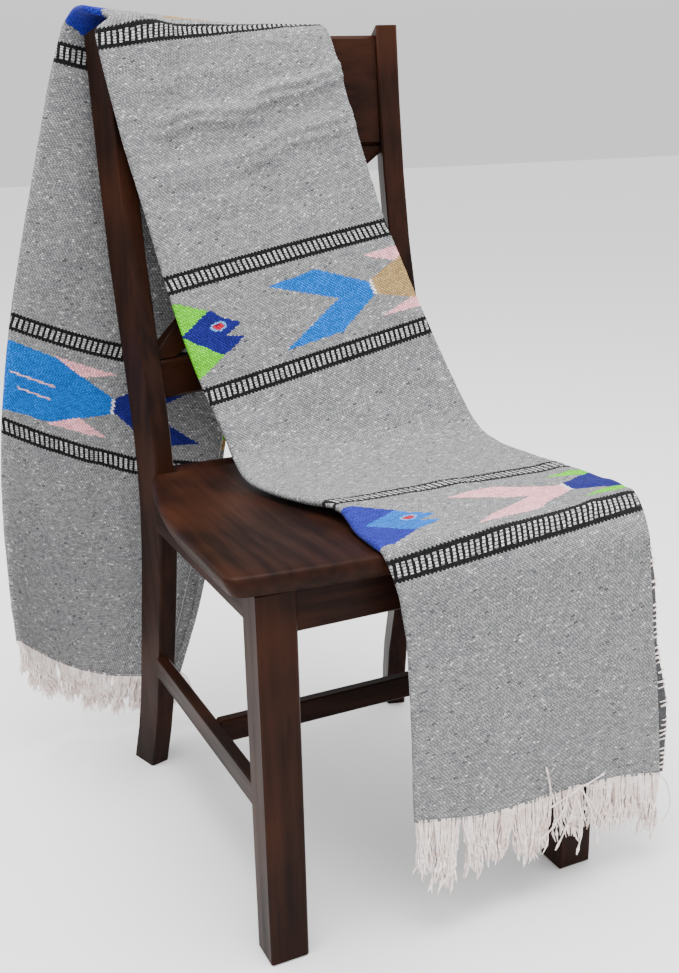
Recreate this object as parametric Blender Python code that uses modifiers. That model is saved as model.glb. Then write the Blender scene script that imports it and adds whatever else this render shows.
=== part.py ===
# A Mexican serape, folded in four, draped over the back and seat of a wooden X-back chair.
# Metres, +Z up, the chair facing -Y. The origin ends on the floor under the middle of the whole.
import math
import random
from collections import namedtuple

import bpy
import bmesh
import numpy as np
from mathutils import Matrix, Vector

gap = 0.0003                 # between pieces that touch

# Driving sizes of the chair
seat_height = 0.457
seat_thickness = 0.0225
seat_widest = 0.2389         # half width, from the front back to seat_widest_y
seat_widest_y = -0.110
seat_narrowing = 0.040       # how much narrower each side is where the seat meets the posts
seat_post_y = 0.154
seat_front_y = -0.2105
seat_back_y = 0.186
seat_bow = 0.0165            # the front edge stands forward in the middle
seat_scoop = 0.006
seat_corner_radius = 0.012
seat_edge_radius = 0.005
seat_underside_inset = 0.006

leg_width = 0.0443
leg_depth = 0.040
leg_outer_x = 0.2097
leg_front_y = -0.210

post_x = 0.1875
post_width = 0.0273
post_depth = 0.0453
post_turn = math.radians(17.3)   # each post is turned so that the curved rails meet it squarely
post_height = 0.983
post_top_slope = 0.012           # the top falls towards the back
foot_splay = 0.009               # the rear feet turn outwards
foot_splay_height = 0.14

rail_thickness = 0.022
rail_top = 0.9713
rail_bottom = 0.834
low_rail_top = 0.587
low_rail_bottom = 0.541
low_rail_thickness = 0.018
low_rail_ease = 0.003
brace_thickness = 0.016
brace_height = 0.040
brace_end_height = 0.010         # the braces are cut away where they meet the rails

apron_bottom = 0.383
apron_thickness = 0.018
stretcher_top = 0.1885
stretcher_height = 0.030
stretcher_thickness = 0.015
stretcher_outer_x = 0.1985
cross_stretcher_y = 0.006
side_apron_outer_x = 0.200
front_apron_y = -0.201
back_apron_setback = 0.008       # its front face stands this far before the middle of the posts
board_ease = 0.0015              # eased edges of thin boards
stick_ease = 0.002               # of legs and stretchers
post_ease = 0.0022
rail_ease = 0.004

# Driving sizes of the cloth: four layers, the two hidden ones drawn as one solid
layer = 0.0018
stack = 4 * layer + 2 * gap
cloth_columns = 8
settling_rounds = 5          # smoothing of the close rows over the bends
clearance = 0.0011           # kept between the stack and the chair, so that no chord cuts a corner
post_clearance = 0.0020      # more of it over the post's sharp top
rail_clearance = 0.0030      # over the curved rail
seat_clearance = 0.0016      # and over the scooped seat
selvage_step = 0.026         # how far the lower layers stand past the top fold, as a share of the width

# Fringe
strip_height = 0.004
strip_depth = 0.0066
front_locks = 76
back_locks = 68
front_lengths = (0.052, 0.086)
back_lengths = (0.050, 0.078)
lock_sway = 0.10             # sideways lean of a lock, as a share of its length
lock_splay = 0.05            # and its lean to the front or back

wood_color = (0.030, 0.011, 0.007, 1)
cloth_color = (0.36, 0.36, 0.37, 1)
hidden_color = (0.33, 0.33, 0.34, 1)
fringe_color = (0.72, 0.68, 0.66, 1)

# How far back the centre of a rear post stands at each height, splayed below and raked above
PostPlace = namedtuple("PostPlace", "z y")
post_places = [
    PostPlace(0.00, 0.275),
    PostPlace(0.10, 0.252),
    PostPlace(0.20, 0.2265),
    PostPlace(0.30, 0.200),
    PostPlace(0.37, 0.1855),
    PostPlace(0.43, 0.180),
    PostPlace(0.50, 0.1865),
    PostPlace(0.58, 0.2045),
    PostPlace(0.70, 0.2365),
    PostPlace(0.82, 0.257),
    PostPlace(0.99, 0.273),
]

# Rows of the cloth's mesh: closer together where the cloth bends
RowSpan = namedtuple("RowSpan", "start end rows")
row_spans = [
    RowSpan(0.000, 0.290, 6),
    RowSpan(0.290, 0.362, 7),
    RowSpan(0.362, 0.600, 5),
    RowSpan(0.600, 0.800, 6),
    RowSpan(0.800, 1.130, 6),
    RowSpan(1.130, 1.340, 20),
    RowSpan(1.340, 2.090, 13),
]

# Weft lines of the folded cloth, from the front hem over the seat and the back to the back hem.
# along: length of cloth from the front hem. left, right: ends of the line on the outer face.
# back, down: how far the middle of the line hangs back and down between its ends.
WeftLine = namedtuple("WeftLine", "along left right back down")
weft_lines = [
    WeftLine(0.000, (-0.048, -0.2450, 0.152), (0.280, -0.2440, 0.117), 0.000, 0.000),
    WeftLine(0.080, (-0.050, -0.2452, 0.228), (0.271, -0.2445, 0.202), -0.002, 0.000),
    WeftLine(0.160, (-0.053, -0.2454, 0.303), (0.258, -0.2448, 0.288), -0.001, 0.000),
    WeftLine(0.250, (-0.060, -0.2456, 0.386), (0.246, -0.2448, 0.390), 0.000, 0.000),
    WeftLine(0.305, (-0.070, -0.2450, 0.436), (0.239, -0.2420, 0.445), 0.000, 0.000),
    WeftLine(0.328, (-0.075, -0.2340, 0.459), (0.246, -0.2180, 0.465), 0.000, 0.000),
    WeftLine(0.350, (-0.077, -0.2120, 0.465), (0.253, -0.1960, 0.465), 0.000, 0.000),
    WeftLine(0.400, (-0.074, -0.1640, 0.466), (0.255, -0.1400, 0.464), 0.000, 0.000),
    WeftLine(0.459, (-0.066, -0.1020, 0.471), (0.246, -0.0700, 0.465), 0.000, 0.000),
    WeftLine(0.520, (-0.083, -0.0400, 0.466), (0.237, -0.0080, 0.465), 0.000, 0.000),
    WeftLine(0.580, (-0.102, 0.0180, 0.465), (0.235, 0.0520, 0.465), 0.000, 0.000),
    WeftLine(0.630, (-0.107, 0.0680, 0.466), (0.234, 0.0960, 0.474), 0.000, 0.000),
    WeftLine(0.670, (-0.106, 0.1020, 0.477), (0.229, 0.1250, 0.500), 0.000, 0.000),
    WeftLine(0.710, (-0.110, 0.1280, 0.506), (0.216, 0.1440, 0.541), 0.000, 0.000),
    WeftLine(0.757, (-0.121, 0.1510, 0.548), (0.198, 0.1630, 0.596), 0.000, 0.000),
    WeftLine(0.827, (-0.138, 0.1710, 0.614), (0.176, 0.1840, 0.664), 0.004, 0.000),
    WeftLine(0.897, (-0.151, 0.1890, 0.682), (0.154, 0.2040, 0.733), 0.006, 0.000),
    WeftLine(1.000, (-0.169, 0.2110, 0.783), (0.131, 0.2290, 0.831), 0.008, 0.000),
    WeftLine(1.090, (-0.186, 0.2270, 0.870), (0.116, 0.2490, 0.912), 0.008, 0.000),
    WeftLine(1.150, (-0.196, 0.2340, 0.926), (0.109, 0.2640, 0.960), 0.006, 0.000),
    WeftLine(1.190, (-0.202, 0.2370, 0.965), (0.104, 0.2810, 0.985), 0.004, 0.000),
    WeftLine(1.220, (-0.204, 0.2450, 0.993), (0.099, 0.3060, 0.984), 0.002, 0.000),
    WeftLine(1.245, (-0.208, 0.2660, 1.004), (0.095, 0.3210, 0.965), 0.004, -0.004),
    WeftLine(1.275, (-0.215, 0.2950, 1.001), (0.089, 0.3240, 0.934), 0.008, -0.008),
    WeftLine(1.305, (-0.226, 0.3080, 0.977), (0.081, 0.3250, 0.905), 0.009, -0.004),
    WeftLine(1.339, (-0.238, 0.3085, 0.945), (0.072, 0.3240, 0.870), 0.009, 0.000),
    WeftLine(1.440, (-0.267, 0.3085, 0.848), (0.044, 0.3220, 0.770), 0.007, 0.000),
    WeftLine(1.540, (-0.294, 0.3090, 0.750), (0.012, 0.3180, 0.668), 0.006, 0.000),
    WeftLine(1.654, (-0.322, 0.3100, 0.641), (-0.020, 0.3170, 0.555), 0.008, 0.000),
    WeftLine(1.794, (-0.346, 0.3120, 0.510), (-0.055, 0.3170, 0.405), 0.014, 0.002),
    WeftLine(1.900, (-0.356, 0.3150, 0.408), (-0.076, 0.3180, 0.303), 0.030, 0.010),
    WeftLine(2.000, (-0.360, 0.3190, 0.304), (-0.099, 0.3180, 0.204), 0.048, 0.026),
    WeftLine(2.090, (-0.359, 0.3220, 0.208), (-0.134, 0.3180, 0.108), 0.062, 0.044),
]


# Scene, materials and plain helpers

def clear_scene():
    for old in list(bpy.data.objects):
        bpy.data.objects.remove(old, do_unlink=True)


def make_collection(name):
    collection = bpy.data.collections.new(name)
    bpy.context.scene.collection.children.link(collection)
    return collection


def make_material(name, color, roughness):
    material = bpy.data.materials.new(name)
    material.use_nodes = True
    shader = material.node_tree.nodes["Principled BSDF"]
    shader.inputs["Base Color"].default_value = color
    shader.inputs["Roughness"].default_value = roughness
    shader.inputs["Metallic"].default_value = 0.0
    return material


def object_from_bmesh(name, shape, material, collection):
    bmesh.ops.recalc_face_normals(shape, faces=shape.faces)
    mesh = bpy.data.meshes.new(name)
    shape.to_mesh(mesh)
    shape.free()
    mesh.materials.append(material)
    made = bpy.data.objects.new(name, mesh)
    collection.objects.link(made)
    return made


def box_bmesh(low, high):
    shape = bmesh.new()
    bmesh.ops.create_cube(shape, size=1.0)
    low, high = Vector(low), Vector(high)
    size = high - low
    bmesh.ops.scale(shape, vec=size, verts=shape.verts)
    bmesh.ops.translate(shape, vec=(low + high) / 2, verts=shape.verts)
    return shape


def eased_box(name, low, high, ease, material, collection):
    """A board with its edges eased by a small bevel."""
    made = object_from_bmesh(name, box_bmesh(low, high), material, collection)
    bevel = made.modifiers.new("eased edges", "BEVEL")
    bevel.width = ease
    bevel.segments = 1
    return made


def loft(sections):
    """Closed solid through rings of equal point counts, capped at both ends."""
    shape = bmesh.new()
    rings = [[shape.verts.new(point) for point in ring] for ring in sections]
    count = len(rings[0])
    for ring, following in zip(rings, rings[1:]):
        for k in range(count):
            after = (k + 1) % count
            shape.faces.new((ring[k], ring[after], following[after], following[k]))
    shape.faces.new(reversed(rings[0]))
    shape.faces.new(rings[-1])
    return shape


def wall_between(outer, inner, turned=()):
    """Closed wall between two grids of points; in the turned columns the quads are split the other way."""
    shape = bmesh.new()
    out = [[shape.verts.new(point) for point in row] for row in outer]
    back = [[shape.verts.new(point) for point in row] for row in inner]
    rows, columns = len(out), len(out[0])
    for i in range(rows - 1):
        for k in range(columns - 1):
            for grid, order in ((out, 1), (back, -1)):
                a, b = grid[i][k], grid[i][k + 1]
                c, d = grid[i + 1][k + 1], grid[i + 1][k]
                halves = ((a, b, d), (b, c, d)) if k in turned else ((a, b, c), (a, c, d))
                for half in halves:
                    shape.faces.new(half[::order])
    for i in range(rows - 1):
        shape.faces.new((out[i][0], out[i + 1][0], back[i + 1][0], back[i][0]))
        shape.faces.new((out[i][-1], back[i][-1], back[i + 1][-1], out[i + 1][-1]))
    for k in range(columns - 1):
        shape.faces.new((out[0][k], back[0][k], back[0][k + 1], out[0][k + 1]))
        shape.faces.new((out[-1][k], out[-1][k + 1], back[-1][k + 1], back[-1][k]))
    return shape


def smooth_steps(value, low, high):
    share = np.clip((value - low) / (high - low), 0.0, 1.0)
    return share * share * (3 - 2 * share)


def through_points(places, values, wanted):
    """Smooth curve through values at places (Catmull-Rom on uneven steps)."""
    places = np.asarray(places, float)
    values = np.asarray(values, float)
    slopes = np.gradient(values, places, axis=0)
    result = []
    for want in wanted:
        i = int(np.clip(np.searchsorted(places, want) - 1, 0, len(places) - 2))
        step = places[i + 1] - places[i]
        t = (want - places[i]) / step
        h00 = 2 * t ** 3 - 3 * t ** 2 + 1
        h10 = t ** 3 - 2 * t ** 2 + t
        h01 = -2 * t ** 3 + 3 * t ** 2
        h11 = t ** 3 - t ** 2
        result.append(h00 * values[i] + h10 * step * slopes[i] + h01 * values[i + 1] + h11 * step * slopes[i + 1])
    return np.array(result)


# Chair

def post_y(z):
    return float(through_points([p.z for p in post_places], [p.y for p in post_places], [z])[0])


def post_corner(side, across, deep, z):
    """A point of a post's section: across is its width, deep its depth, turned about the upright."""
    c, s = math.cos(post_turn), math.sin(post_turn)
    splay = foot_splay * max(1 - z / foot_splay_height, 0) ** 2
    x = -post_x - splay + across * c - deep * s
    y = post_y(z) + across * s + deep * c
    return Vector((x if side < 0 else -x, y, z))


def rear_post(side, name, material, collection):
    ease = post_ease
    w, d = post_width / 2, post_depth / 2
    corners = [(-w, -d + ease), (-w + ease, -d), (w - ease, -d), (w, -d + ease),
               (w, d - ease), (w - ease, d), (-w + ease, d), (-w, d - ease)]
    heights = [0.0, 0.05, 0.10, 0.20, 0.29, 0.35, 0.40, 0.45, 0.50, 0.56, 0.63, 0.71, 0.80, 0.89]
    sections = [[post_corner(side, a, b, z) for a, b in corners] for z in heights]
    top = []
    for a, b in corners:
        point = post_corner(side, a, b, post_height)
        point.z -= post_top_slope * smooth_steps(b, -d, d)
        top.append(point)
    sections.append(top)
    return object_from_bmesh(name, loft(sections), material, collection)


def rail_center(share, z):
    """Centre line of the curved rails: share runs from -1 at the left post to 1 at the right one."""
    half_width = post_width / 2 + gap
    end_x = post_x - half_width * math.cos(post_turn)
    radius = end_x / math.sin(post_turn)
    angle = share * post_turn
    end_y = post_y(z) + half_width * math.sin(post_turn)
    y = end_y + radius * (math.cos(angle) - math.cos(post_turn))
    return Vector((radius * math.sin(angle), y, z)), angle


def curved_bar(name, bottom_of, top_of, thickness, ease, steps, material, collection):
    """A bar between the posts that follows the back's curve; bottom_of and top_of give its edges."""
    sections = []
    for i in range(steps + 1):
        share = -1 + 2 * i / steps
        low, high = bottom_of(share), top_of(share)
        half = thickness / 2
        ring = []
        for z, deep in [(low, -half + ease), (low + ease, -half), (high - ease, -half), (high, -half + ease),
                        (high, half - ease), (high - ease, half), (low + ease, half), (low, half - ease)]:
            center, angle = rail_center(share, z)
            ring.append(center + Vector((math.sin(angle), math.cos(angle), 0)) * deep)
        sections.append(ring)
    return object_from_bmesh(name, loft(sections), material, collection)


def add_cut(target, cutter, cutters):
    for owner in list(cutter.users_collection):
        owner.objects.unlink(cutter)
    cutters.objects.link(cutter)
    cutter.hide_render = True
    cutter.display_type = "WIRE"
    cut = target.modifiers.new("cut", "BOOLEAN")
    cut.operation = "DIFFERENCE"
    cut.solver = "EXACT"
    cut.object = cutter


def build_cross_braces(material, collection, cutters):
    """Two bars that cross in the back and are halved into each other."""
    lowest, highest = low_rail_top + gap, rail_bottom - gap
    low_end = lowest + brace_end_height - brace_height
    high_end = highest - brace_end_height
    middle = (lowest + highest) / 2
    center, _ = rail_center(0, middle)
    bars = []
    for name, rise in (("brace_rising_right", 1), ("brace_rising_left", -1)):
        under = lambda share, rise=rise: low_end + (high_end - low_end) * (1 + rise * share) / 2
        bottom = lambda share, under=under: max(under(share), lowest)
        top = lambda share, under=under: min(under(share) + brace_height, highest)
        bars.append(curved_bar(name, bottom, top, brace_thickness, stick_ease, 12, material, collection))
    for bar, side in zip(bars, (1, -1)):
        reach = 0.042
        face_y = center.y + side * gap / 2
        far_y = center.y - side * 0.03
        low = (-reach, min(face_y, far_y), middle - reach)
        high = (reach, max(face_y, far_y), middle + reach)
        notch = object_from_bmesh(bar.name + "_notch", box_bmesh(low, high), material, cutters)
        add_cut(bar, notch, cutters)
    return bars


def seat_half(y):
    """Half width of the seat, which narrows in a curve towards the posts."""
    behind = max(y - seat_widest_y, 0.0) / (seat_post_y - seat_widest_y)
    return seat_widest - seat_narrowing * behind ** 2.5


def seat_outline_distance(x, y):
    """Signed distance, about, from the seat's outline in plan; negative inside."""
    front = seat_front_y - seat_bow * (1 - np.clip(np.abs(x) / seat_widest, 0, 1) ** 2)
    side = np.abs(x) - seat_half(y)
    ahead = front - y
    behind = y - seat_back_y
    r = seat_corner_radius
    a = np.maximum(side + r, 0)
    b = np.maximum(np.maximum(ahead, behind) + r, 0)
    return np.sqrt(a * a + b * b) + np.minimum(np.maximum(side + r, np.maximum(ahead, behind) + r), 0) - r


def seat_dip(x, y):
    """How far the scooped top lies below the seat's height."""
    inside = smooth_steps(-seat_outline_distance(x, y), 0.004, 0.11)
    front_fade = smooth_steps(y, seat_front_y, seat_front_y + 0.16)
    return seat_scoop * inside * front_fade


def seat_edge_x(y):
    """Half width of the seat with its front corners rounded."""
    half = seat_half(y)
    r = seat_corner_radius
    from_front = y - seat_front_y
    if from_front < r:
        half -= r - math.sqrt(max(r * r - (r - from_front) ** 2, 0.0))
    return half


def build_seat(material, collection):
    """The seat as two grids: scooped top, rounded edge, and a tongue that runs back between the posts."""
    notch_y = post_corner(-1, -post_width / 2, -post_depth / 2, seat_height - seat_thickness).y - gap
    tongue_half = abs(post_corner(-1, post_width / 2, -post_depth / 2, seat_height).x) - 0.003
    shares = [0.0, 0.006, 0.016, 0.034, 0.065, 0.13, 0.20, 0.28, 0.37, 0.47, 0.58, 0.69, 0.80, 0.91, 1.0]
    lines = [(seat_front_y + share * (notch_y - seat_front_y), 0) for share in shares]
    lines += [(notch_y + 2 * gap, 1), ((notch_y + seat_back_y) / 2, 1), (seat_back_y - 0.004, 1), (seat_back_y, 1)]
    across = [0.0, 0.2, 0.4, 0.56, 0.66, 0.76, 0.86, 0.94, 0.975, 0.99, 1.0]
    across = [-t for t in reversed(across[1:])] + across
    top_rows, bottom_rows = [], []
    for y_line, on_tongue in lines:
        half = tongue_half if on_tongue else seat_edge_x(y_line)
        fade = max(1 - (y_line - seat_front_y) / (seat_back_y - seat_front_y), 0.0) ** 3
        top_row, bottom_row = [], []
        for t in across:
            x = t * half
            y = y_line - seat_bow * (1 - (x / seat_widest) ** 2) * fade
            edge = max(-float(seat_outline_distance(x, y)), 0.0)
            round_off = max(seat_edge_radius - edge, 0.0)
            drop = seat_edge_radius - math.sqrt(max(seat_edge_radius ** 2 - round_off ** 2, 0.0))
            drop = min(drop, seat_edge_radius * 0.8)
            top_row.append(Vector((x, y, seat_height - drop - float(seat_dip(x, y)))))
            under_x = x - t * seat_underside_inset * (not on_tongue)
            bottom_row.append(Vector((under_x, y, seat_height - seat_thickness + 0.35 * drop)))
        top_rows.append(top_row)
        bottom_rows.append(bottom_row)
    return object_from_bmesh("seat", wall_between(top_rows, bottom_rows), material, collection)


def build_chair(wood, collection, cutters):
    leg_top = seat_height - seat_thickness - gap
    for side, name in ((-1, "left"), (1, "right")):
        outer, inner = side * leg_outer_x, side * (leg_outer_x - leg_width)
        xs = sorted((outer, inner))
        eased_box("front_leg_" + name, (xs[0], leg_front_y, 0.0), (xs[1], leg_front_y + leg_depth, leg_top),
                  stick_ease, wood, collection)
        rear_post(side, "rear_post_" + name, wood, collection)

        leg_back = leg_front_y + leg_depth + gap
        xs = sorted((side * side_apron_outer_x, side * (side_apron_outer_x - apron_thickness)))
        apron_end = post_corner(side, -post_width / 2, -post_depth / 2, leg_top).y - gap
        eased_box("apron_" + name, (xs[0], leg_back, apron_bottom), (xs[1], apron_end, leg_top),
                  board_ease, wood, collection)
        xs = sorted((side * stretcher_outer_x, side * (stretcher_outer_x - stretcher_thickness)))
        stretcher_end = post_corner(side, -post_width / 2, -post_depth / 2, stretcher_top).y - gap
        eased_box("side_stretcher_" + name, (xs[0], leg_back, stretcher_top - stretcher_height),
                  (xs[1], stretcher_end, stretcher_top), stick_ease, wood, collection)

    half = leg_outer_x - leg_width - gap
    eased_box("apron_front", (-half, front_apron_y, apron_bottom),
              (half, front_apron_y + apron_thickness, leg_top), board_ease, wood, collection)
    half = abs(post_corner(-1, post_width / 2, -post_depth / 2, leg_top).x) + 0.0020
    apron_y = post_y(leg_top) - back_apron_setback
    eased_box("apron_back", (-half, apron_y, apron_bottom), (half, apron_y + apron_thickness, leg_top),
              board_ease, wood, collection)
    half = stretcher_outer_x - stretcher_thickness - gap
    low_y = cross_stretcher_y - stretcher_thickness / 2
    eased_box("cross_stretcher", (-half, low_y, stretcher_top - stretcher_height),
              (half, low_y + stretcher_thickness, stretcher_top), stick_ease, wood, collection)

    curved_bar("top_rail", lambda share: rail_bottom, lambda share: rail_top, rail_thickness,
               rail_ease, 16, wood, collection)
    curved_bar("low_rail", lambda share: low_rail_bottom, lambda share: low_rail_top, low_rail_thickness,
               low_rail_ease, 12, wood, collection)
    build_cross_braces(wood, collection, cutters)
    build_seat(wood, collection)


# Cloth

def wall_distance(y, z, center_y, half, top, corner):
    """Distance from a standing board with a rounded top, seen end on."""
    qy = np.abs(y - center_y) - (half - corner)
    qz = z - (top - corner)
    outside = np.sqrt(np.maximum(qy, 0) ** 2 + np.maximum(qz, 0) ** 2)
    return outside + np.minimum(np.maximum(qy, qz), 0) - corner


def chair_distance(point):
    """Distance from what the cloth rests on: the seat, the top rail and the left post."""
    x, y, z = point
    edge = seat_edge_radius
    lifted = z + float(seat_dip(x, y))
    middle = seat_height - seat_thickness / 2
    qx = float(seat_outline_distance(x, y)) + edge
    qz = abs(lifted - middle) - (seat_thickness / 2 - edge)
    seat = math.hypot(max(qx, 0), max(qz, 0)) + min(max(qx, qz), 0) - edge - seat_clearance

    share = float(np.clip(x / (post_x - 0.013), -1, 1))
    curve = rail_center(share, min(z, rail_top))[0].y
    rail = wall_distance(y, z, curve, rail_thickness / 2, rail_top, 0.008) - rail_clearance
    near_post = float(smooth_steps(-x, 0.105, 0.160))
    post = wall_distance(y, z, post_y(min(z, post_height)), 0.0262, post_height, 0.003)
    wide = wall_distance(y, z, curve, rail_thickness / 2, rail_top + (post_height - rail_top) * near_post, 0.004)
    wide -= rail_clearance
    post -= post_clearance
    if near_post >= 1.0:
        board = post
    elif near_post > 0.0:
        board = min(rail, wide) * (1 - near_post) + min(post, wide) * near_post
    else:
        board = rail
    return min(seat, board) if z > 0.60 or z < 0.52 else seat


def pushed_clear(point, wanted):
    """Move a point of the outer face out of the chair, to the stack's thickness."""
    point = np.array(point, float)
    for _ in range(6):
        found = chair_distance(point)
        if found >= wanted:
            return point
        step = 1e-4
        slope = np.array([chair_distance(point + step * axis) - found for axis in np.eye(3)]) / step
        length = np.linalg.norm(slope)
        if length < 1e-6:
            return point
        point = point + slope / length * (wanted - found)
    return point


def cloth_face():
    """Grid of points on the cloth's outer face, a row for each weft line, and its normals."""
    places = [line.along for line in weft_lines]
    values = [list(line.left) + list(line.right) + [line.back, line.down] for line in weft_lines]
    wanted = np.concatenate([np.linspace(s.start, s.end, s.rows + 1)[1:] for s in row_spans])
    wanted = np.insert(wanted, 0, 0.0)
    lines = through_points(places, values, wanted)
    shares = np.linspace(0, 1 + selvage_step, cloth_columns)
    grid = np.zeros((len(wanted), cloth_columns, 3))
    for i, line in enumerate(lines):
        left, right, back, down = line[0:3], line[3:6], line[6], line[7]
        for k, t in enumerate(shares):
            swell = 4 * t * (1 - t)
            point = left + (right - left) * t + np.array([0, back, -down]) * swell
            grid[i, k] = pushed_clear(point, stack + clearance)
    close_rows = np.gradient(wanted) < 0.02
    for _ in range(settling_rounds):
        eased = grid.copy()
        eased[1:-1] = 0.5 * grid[1:-1] + 0.25 * (grid[:-2] + grid[2:])
        grid[close_rows] = eased[close_rows]
        for i in np.flatnonzero(close_rows):
            for k in range(cloth_columns):
                grid[i, k] = pushed_clear(grid[i, k], stack + clearance)
    along = np.gradient(grid, axis=0)
    across = np.gradient(grid, axis=1)
    normals = np.cross(across, along)
    normals /= np.linalg.norm(normals, axis=2)[:, :, None]
    return shares, grid, normals


def at_share(shares, values, t):
    """Row of values between the columns, at share t of the width."""
    i = int(np.clip(np.searchsorted(shares, t) - 1, 0, len(shares) - 2))
    part = (t - shares[i]) / (shares[i + 1] - shares[i])
    return values[:, i] + (values[:, i + 1] - values[:, i]) * part


def sheet_between(name, upper_path, lower_path, shares, face, normal, material, collection):
    """Closed wall between two paths of (share of the width, depth under the outer face)."""
    def points_on(path):
        columns = [at_share(shares, face, t) - at_share(shares, normal, t) * depth for t, depth in path]
        return np.stack(columns, axis=1)
    turned = {k for k in range(len(upper_path) - 1) if upper_path[k + 1][0] < upper_path[k][0]}
    shape = wall_between(points_on(upper_path), points_on(lower_path), turned)
    return object_from_bmesh(name, shape, material, collection)


def build_cloth(cloth, hidden, collection):
    """The outer layers as one wall round the left fold, and the two layers inside it as one solid."""
    shares, face, normal = cloth_face()
    width = float(np.linalg.norm(face[:, -1] - face[:, 0], axis=1).mean()) / (1 + selvage_step)

    def rounded(radius):
        """Half turn round the left fold, as (share, depth) pairs from the top to the bottom."""
        turns = [math.radians(turn) for turn in (30, 60, 90, 120, 150)]
        return [(-radius * math.sin(a) / width, stack / 2 - radius * math.cos(a)) for a in turns]

    between = list(shares[1:-1])
    top_shares = [1.0] + between[::-1] + [0.0]
    bottom_shares = list(shares)
    outer_path = [(t, 0.0) for t in top_shares] + rounded(stack / 2) + [(t, stack) for t in bottom_shares]
    inner_path = ([(t, layer) for t in top_shares] + rounded(stack / 2 - layer)
                  + [(t, stack - layer) for t in bottom_shares])
    sheet_between("serape_outer_layers", outer_path, inner_path, shares, face, normal, cloth, collection)

    # The hidden layers: a groove along both edges parts them, and the lower one stands further out
    high, low = layer + 1.6 * gap, stack - layer - 1.6 * gap
    middle = (high + low) / 2
    bevel = 0.0008 / width
    left_end, upper_end, lower_end = 0.001 / width, 1 - 0.002 / width, 1 + selvage_step - 0.002 / width
    upper_path = ([(left_end + bevel, middle - gap / 3), (left_end, (high + middle) / 2)]
                  + [(t, high) for t in [left_end + bevel] + between + [upper_end - bevel]]
                  + [(upper_end, (high + middle) / 2), (upper_end - bevel, middle - gap / 3)])
    lower_path = ([(left_end + bevel, middle + gap / 3), (left_end, (low + middle) / 2)]
                  + [(t, low) for t in [left_end + bevel] + between + [lower_end - bevel]]
                  + [(lower_end, (low + middle) / 2), (lower_end - bevel, middle + gap / 3)])
    sheet_between("serape_inner_layers", upper_path, lower_path, shares, face, normal, hidden, collection)
    return face, normal


def build_fringe(name, face_row, next_row, normal_row, locks, lengths, seed, material, collection):
    """A narrow strip just past the hem, and the locks that hang from it, in two staggered lines."""
    rng = random.Random(seed)
    face_row, next_row, normal_row = (np.array(a) for a in (face_row, next_row, normal_row))
    columns = len(face_row)
    steps = 2 * locks + 1
    at = np.linspace(0, columns - 1, steps + 1)

    def along_row(values, place):
        i = int(min(math.floor(place), columns - 2))
        return values[i] + (values[i + 1] - values[i]) * (place - i)

    shape = bmesh.new()
    tops, bottoms = [], []
    middle_depth = stack / 2
    for place in at:
        base = along_row(face_row, place)
        before = along_row(next_row, place)
        normal = along_row(normal_row, place)
        normal /= np.linalg.norm(normal)
        out = base - before
        out /= np.linalg.norm(out)
        centre = base - normal * middle_depth
        top_line, bottom_line = [], []
        for depth in (-strip_depth / 2, 0.0, strip_depth / 2):
            top_line.append(shape.verts.new(centre + out * gap - normal * depth))
            bottom_line.append(shape.verts.new(centre + out * (gap + strip_height) - normal * depth))
        tops.append(top_line)
        bottoms.append(bottom_line)

    def grow(quad, out, sideways, length):
        """Lengthen a square of the strip's underside into a lock with one soft bend."""
        ring = quad
        centre = sum((v.co for v in quad), Vector()) / 4
        start = [v.co - centre for v in quad]
        for share, size in ((0.5, 0.75), (1.0, 0.45)):
            shift = out * length * share + sideways * length * share * share
            level = [shape.verts.new(centre + shift + offset * size) for offset in start]
            for k in range(4):
                after = (k + 1) % 4
                shape.faces.new((ring[k], ring[after], level[after], level[k]))
            ring = level
        shape.faces.new(ring)

    down = Vector((0, 0, -1))
    for i in range(steps):
        for row in range(2):
            shape.faces.new((tops[i][row], tops[i][row + 1], tops[i + 1][row + 1], tops[i + 1][row]))
            quad = [bottoms[i][row], bottoms[i + 1][row], bottoms[i + 1][row + 1], bottoms[i][row + 1]]
            hangs = (i % 4 == 1 and row == 0) or (i % 4 == 3 and row == 1)
            if hangs:
                share = i / steps
                length = rng.uniform(*lengths)
                sway = lock_sway * math.sin(9 * share + seed) + rng.uniform(-1, 1) * lock_sway / 2
                side = Vector((sway, lock_splay if row else -lock_splay, 0))
                grow(quad, down, side, length)
            else:
                shape.faces.new(quad)
        shape.faces.new((tops[i][0], tops[i + 1][0], bottoms[i + 1][0], bottoms[i][0]))
        shape.faces.new((tops[i][2], bottoms[i][2], bottoms[i + 1][2], tops[i + 1][2]))
    for end in (0, steps):
        for row in range(2):
            shape.faces.new((tops[end][row], bottoms[end][row], bottoms[end][row + 1], tops[end][row + 1]))
    return object_from_bmesh(name, shape, material, collection)


def rest_on_origin(collection):
    """Put the origin on the floor under the middle of the whole."""
    bpy.context.view_layer.update()
    low, high = Vector((1e9, 1e9, 1e9)), Vector((-1e9, -1e9, -1e9))
    for made in collection.objects:
        for vertex in made.data.vertices:
            for axis in range(3):
                low[axis] = min(low[axis], vertex.co[axis])
                high[axis] = max(high[axis], vertex.co[axis])
    shift = Vector((-(low.x + high.x) / 2, -(low.y + high.y) / 2, -low.z))
    for made in bpy.data.objects:
        made.data.transform(Matrix.Translation(shift))
    print("moved by", [round(value, 4) for value in shift])


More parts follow.
